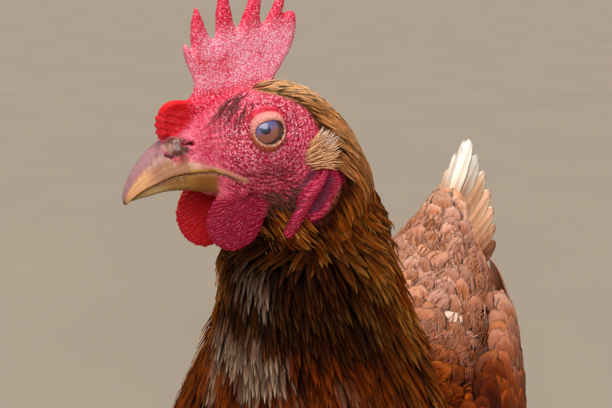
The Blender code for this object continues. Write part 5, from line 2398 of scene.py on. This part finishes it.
# ---- the hen
@dataclass
class Plumage:
    """Every coat of small feathers, on surfaces that follow the skin."""

    tree: NodeTree = field(default_factory=lambda: FeatherTree().make())

    def ground(self, first: float, last: float, rows: int = 0, ring: int = 161, sink: float = 1.0) -> Ground:
        """A surface over part of trunk, neck or head.

        Args:
            first: the station where it starts, nearer the tail.
            last: the station where it ends.
            rows: how many rings; 0 gives 16 to a station.
            ring: how many points in each.
            sink: how deep in the coat it lies, 1 on the skin and 0 at the coat's surface.

        Returns:
            The surface.
        """
        stations = np.linspace(first, last, rows or int((last - first) * 16))
        points = body_rows(stations, np.linspace(0, 1, ring) * math.tau, sink)
        lie = -unit(np.gradient(points, axis=0))
        return Ground(points, lie, stations, TRUNK_ISLAND, (first / BILL_ROOT, last / BILL_ROOT))

    def build(self) -> list[Object]:
        """All coats."""
        return [*self.neck(), *self.trunk(), *self.limbs(), *self.face()]

    def neck(self) -> list[Object]:
        """Fine pointed feathers from the back of the head down to the shoulders, in two halves."""
        ground = self.ground(9.3, 20.2)
        s, side = ground.s, np.abs(ground.turn - 0.5)
        flat = HEAD.inside(ground.rows.reshape(-1, 3))
        ahead = ease(flat[:, 0], 20, 24) * ease(flat[:, 2], -32, -26)
        bare = np.maximum(Skin().regions(flat)[2], ahead).reshape(s.shape)
        length = profile({9.3: 32, 11.5: 28, 14: 20, 16.5: 13, 19.5: 6}, s)
        length = length * (1 - 0.3 * ease(side, 0.3, 0.1))
        stand = (
            profile({9.3: 5.8, 11.5: 5.0, 14: 4.0, 15: 3.0, 17: 1.6, 18.6: 0.8}, s)
            + 4.5 * ease(side, 0.16, 0.34) * ease(s, 10.6, 12) * ease(s, 15.4, 14)
            - 3.0 * ease(side, 0.4, 0.2) * ease(s, 10.4, 11.4) * ease(s, 13.2, 12.2)
            + 2.5 * ease(side, 0.4, 0.2) * ease(s, 13.2, 14.0) * ease(s, 15.4, 14.6)
        )
        density = (1 - bare) * profile({9.3: 0.1, 11.5: 0.2, 14: 0.45, 16.5: 0.8, 19.5: 1}, s)
        width = {9.3: 4.8, 11.5: 3.2, 14: 1.8, 16.5: 1.3, 19.5: 0.7}
        finish = FeatherFinish("hackle", rim=0.6, tip=0.6, painted_shade=0.85, streak=0.75, barbs=14, vary=1.0)
        made = []
        for name, seed, half in (("left", 3, ground.turn < 0.5), ("right", 4, ground.turn >= 0.5)):
            coat = Coat("coat_neck_" + name, Vane.HACKLE, finish, 1.0, 0.14, seed, width, length, 0.3, stand)
            made.append(coat.build(ground, density * half, self.tree))
        return made

    def hidden(self, ground: Ground) -> Array:
        """How far the wings leave the trunk free.

        Args:
            ground: the trunk's surface.

        Returns:
            0 where a wing covers it, and 1 elsewhere.
        """
        ahead, _, up = BODY.inside(ground.rows.reshape(-1, 3)).T
        table = np.array(WING_TABLE, float).T
        middle, half = (np.interp(-ahead, table[0], table[k]) for k in (1, 3))
        over = ease(np.abs(up - middle), half * 0.62, half * 0.42)
        over = over * ease(ahead, 74, 62) * ease(ahead, -120, -105)
        return (1 - over).reshape(ground.s.shape)

    def trunk(self) -> list[Object]:
        """Broad feathers on the breast, back, belly and round the tail, with downy tips over them."""
        plain = FeatherFinish("breast_feather", rim=0.55, tip=0.5, painted_shade=0.5, barbs=30)
        pale = FeatherFinish("back_feather", rim=0.6, tip=0.55, painted_shade=0.55, barbs=34)
        fluff = FeatherFinish("fluff", rim=0.6, tip=0.5, painted_shade=0.4, streak=0.5, barbs=16, rough=0.7)
        down = FeatherFinish("down", rim=0.5, tip=0.7, painted_shade=0.1, streak=0.5, barbs=4, rough=0.75, vary=0.7)
        sizes = {6: 14, 9.8: 9}, {6: 28, 9.8: 23}, 0.45, 5.8
        breast = Coat("coat_breast", Vane.ROUND, plain, 5.4, 0.25, 6, *sizes)
        sizes = {1: 8, 3: 11, 6: 11, 10: 7}, {1: 24, 3: 28, 6: 27, 10: 26}, 0.45, {0.8: 4.0, 3: 6.2, 10: 5.6}
        back = Coat("coat_back", Vane.ROUND, pale, 5.8, 0.22, 7, *sizes)
        sizes = {1: 10, 3: 15, 6: 14}, {1: 25, 3: 30, 6: 28}, 0.5, 6.2
        belly = Coat("coat_belly", Vane.LOOSE, fluff, 5.8, 0.35, 8, *sizes)
        tips = Coat("coat_down", Vane.HAIR, down, 2.7, 0.5, 9, 0.75, 9, 0.15, 2.2)
        made = []
        for coat, first, last, sink, share in (
            (breast, 5.6, 9.9, 1.0, lambda s, upper: (1 - upper) * ease(s, 5.7, 6.3)),
            (back, 0.8, 10.2, 1.0, lambda s, upper: upper),
            (belly, 0.9, 6.4, 1.0, lambda s, upper: 1 - upper),
            (tips, 0.9, 10.6, 0.3, lambda s, upper: 1.0),
        ):
            ground = self.ground(first, last, sink=sink)
            upper = ease(np.abs(ground.turn - 0.5), 0.2, 0.27)
            made.append(coat.build(ground, share(ground.s, upper) * self.hidden(ground), self.tree))
        return made

    def limbs(self) -> list[Object]:
        """Coverts on the wings, soft feathers on the thighs, and the long feathers."""
        made = []
        finish = FeatherFinish("thigh_feather", rim=0.6, tip=0.5, painted_shade=0.4, barbs=20)
        for side, name in SIDES.items():
            wing = Wing(side)
            made += [wing.quills(), wing.coverts(self.tree)]
            stations = np.linspace(0.25, 4.0, 46)
            points = thigh_rows(stations, np.linspace(0, 1, 81) * math.tau, 4.0, side)
            lie = unit(np.gradient(points, axis=0) + np.array((0, 0.0006, 0)))
            ground = Ground(points, lie, stations, THIGH_ISLANDS[side], (0.0, 1.0))
            sizes = {0: 12, 4: 5}, {0: 24, 4: 11}, 0.4, {0: 4.4, 4: 3.2}
            coat = Coat("coat_thigh_" + name, Vane.LOOSE, finish, 4.0, 0.3, 13, *sizes)
            made.append(coat.build(ground, np.ones(ground.s.shape), self.tree))
        return [*made, Tail().quills()]

    def face(self) -> list[Object]:
        """Tufts over the ears, streaks above the eyes, and bristles on the bare skin."""
        ground = self.ground(15.2, 22.6, 150, 221)
        local = HEAD.inside(ground.rows.reshape(-1, 3))
        shape = ground.s.shape
        f, side, u = (v.reshape(shape) for v in local.T)
        eye = Skin().near_eyes(local).reshape(shape)
        jaw = ease(u, -17.5, -21.0) * ease(u, -29, -26) * ease(f, -15, -11) * ease(f, 6, 2)
        jaw = jaw * (1 - Skin().regions(local)[1].reshape(shape))
        cheek = ease(eye, 7.0, 7.8) * ease(f, -15, -12) * ease(f, 20, 16) * ease(u, 9, 6) * ease(u, -22, -18)
        rim = ease(eye, 5.4, 5.8) * ease(eye, 6.9, 6.5) * ease(u, 0.5, -1.5)
        # ear tufts start in front of the opening, and fan back and upwards
        ears = ease(np.hypot((f + 14.2) / 4.0, (u + 10.4) / 4.5), 1.1, 0.85)
        brow = ease(np.hypot((f - 5.6) / 6.5, (u - 12.0) / 3.4), 1.1, 0.8)
        # ear hairs paler towards the back and top: partly their white tips, partly painted highlight
        white = PaleFinish("ear_hair", "dca474", "ffffff", 0.5, (-16.0, -7.0), (-0.09, 0.09))
        bristle = PaleFinish("bristle", "c05060", "f0b8b8")
        brown = PaleFinish("brow_hair", "4a2010", "96603a", 0.3)
        reddish = PaleFinish("jaw_hair", "4a1c10", "a86a38", 0.5)
        hairs = (
            ("ears", white, 0.42, 0.3, 17, (0.42, 5.4, 0.1, 3.2), (-1.0, 0.3 + (u + 10.4) / 8), ears),
            ("brow", brown, 1.05, 0.2, 19, (0.24, 15.0, 0.1, 1.8), (0.42, -0.9), brow),
            ("jaw", reddish, 0.8, 0.4, 21, (0.3, 5.0, 0.09, 1.4), (-0.9, -0.5), jaw),
            ("cheeks", bristle, 2.3, 0.5, 23, (0.16, 1.5, 0.06, 0.8), (-1, -0.35), cheek),
            ("lids", bristle, 0.7, 0.3, 25, (0.12, 0.8, 0.05, 0.6), (f - EYE_FORWARD, u - EYE_UP), rim),
        )
        made = []
        for name, finish, spacing, turn, seed, sizes, (ahead, up), where in hairs:
            ground.lie = unit(np.stack([ahead + 0 * f, 0 * f, up + 0 * f], axis=-1) @ HEAD.axes())
            coat = Coat("coat_" + name, Vane.HAIR, finish, spacing, turn, seed, *sizes)
            made.append(coat.build(ground, where * ease(np.abs(side), 3, 4.5), self.tree))
        return made


def both(*names: str) -> list[str]:
    """Names of CAD nodes on the left and on the right."""
    return [f"{name}_{side}" for name in names for side in SIDES.values()]


FLESH = ["trunk", "neck_lower", "neck_upper", "head", "comb"]
FLESH += both("wattle", "earlobe", "wing", "wing_tip", "thigh", "shank", *(f"toe_{toe}" for toe in TOES))


@dataclass
class Hen:
    """The whole bird, piece by piece, each attached to the root."""

    def build(self) -> None:
        """Builds every piece and attaches it to the root."""
        self.put(Skin().build(), "red_skin", *FLESH)
        self.put(Bill().build(), "horn", "bill_upper", "bill_lower")
        self.put(Eyes().build(), "eye", *both("eye"))
        self.put(Legs().claws(), "claw", *both(*(f"claw_{toe}" for toe in TOES)))
        self.put(Legs().plates(), "leg_scale")
        for piece in Plumage().build():
            if piece.name == "coat_ears":
                self.put(piece, "pale_feather", *both("ear"))
            elif piece.name == "tail_quills":
                self.put(piece, "plumage", "tail")
            else:
                self.put(piece, "plumage")

    def put(self, piece: Object, slot: str, *nodes: str) -> None:
        """Attaches a piece to the root, and hides the CAD nodes that it stands for.

        Args:
            piece: the piece.
            slot: not used.
            nodes: CAD nodes that it stands for.
        """
        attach(piece, "root")
        if nodes:
            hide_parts(*nodes)
        log.info("%s stands for %d nodes", piece.name, len(nodes))


@dataclass
class Studio:
    """The floor, the lights, the sky and the camera."""

    floor_half: float = 30.0
    sky_strength: float = 0.42
    lens: float = 50.0
    camera_from_head: Triple = (0.1203, -0.2511, 0.0471)
    camera_ahead: Triple = (-0.3618, 0.8956, -0.2588)
    camera_right: Triple = (0.9272, 0.3746, 0.0)

    def build(self) -> None:
        """Puts everything in the scene."""
        self.floor()
        self.sky()
        self.sun("overhead", (-0.1, 0.0, 1.0), 3.0, 24, (1.0, 0.98, 0.95))
        self.sun("front", (0.35, -1.0, 0.7), 2.2, 40, (1.0, 0.98, 0.96))
        self.camera()
        view = bpy.context.scene.view_settings
        view.view_transform, view.look = "Standard", "None"

    def floor(self) -> None:
        """A wide plain floor."""
        h = self.floor_half
        mesh = bpy.data.meshes.new("floor")
        mesh.from_pydata([(-h, -h, 0), (h, -h, 0), (h, h, 0), (-h, h, 0)], [], [(0, 1, 2, 3)])
        mesh.materials.append(FloorFinish().make())
        link("floor", mesh)

    def sky(self) -> None:
        """An even pale sky."""
        world = bpy.data.worlds.new("sky")
        world.use_nodes = True
        back = world.node_tree.nodes["Background"]
        back.inputs["Color"].default_value = paint("dcdcdc")
        back.inputs["Strength"].default_value = self.sky_strength
        bpy.context.scene.world = world

    def sun(self, name: str, towards: tuple, strength: float, spread: float, colour: tuple) -> None:
        """Soft light from one side.

        Args:
            name: its name.
            towards: where it comes from.
            strength: its strength.
            spread: how wide it looks, in degrees; more makes softer shadows.
            colour: red, green and blue.
        """
        data = bpy.data.lights.new(name, "SUN")
        data.energy, data.angle, data.color = strength, math.radians(spread), colour
        link(name, data).rotation_euler = Vector(towards).to_track_quat("Z", "Y").to_euler()

    def camera(self) -> None:
        """The camera, ahead of the hen and to her left, looking a little down."""
        data = bpy.data.cameras.new("camera")
        data.lens = self.lens
        camera = link("camera", data)
        right, ahead = Vector(self.camera_right), Vector(self.camera_ahead).normalized()
        turn = Matrix((right, right.cross(ahead), -ahead)).transposed()
        place = Matrix.Translation(Vector(HEAD.origin) + Vector(self.camera_from_head))
        camera.matrix_world = place @ turn.to_4x4()
        bpy.context.scene.camera = camera


def main() -> None:
    """Builds the hen and her studio."""
    logging.basicConfig(level=logging.INFO, format="%(name)s: %(message)s")
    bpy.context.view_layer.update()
    Hen().build()
    Studio().build()


if __name__ == "__main__":
    main()
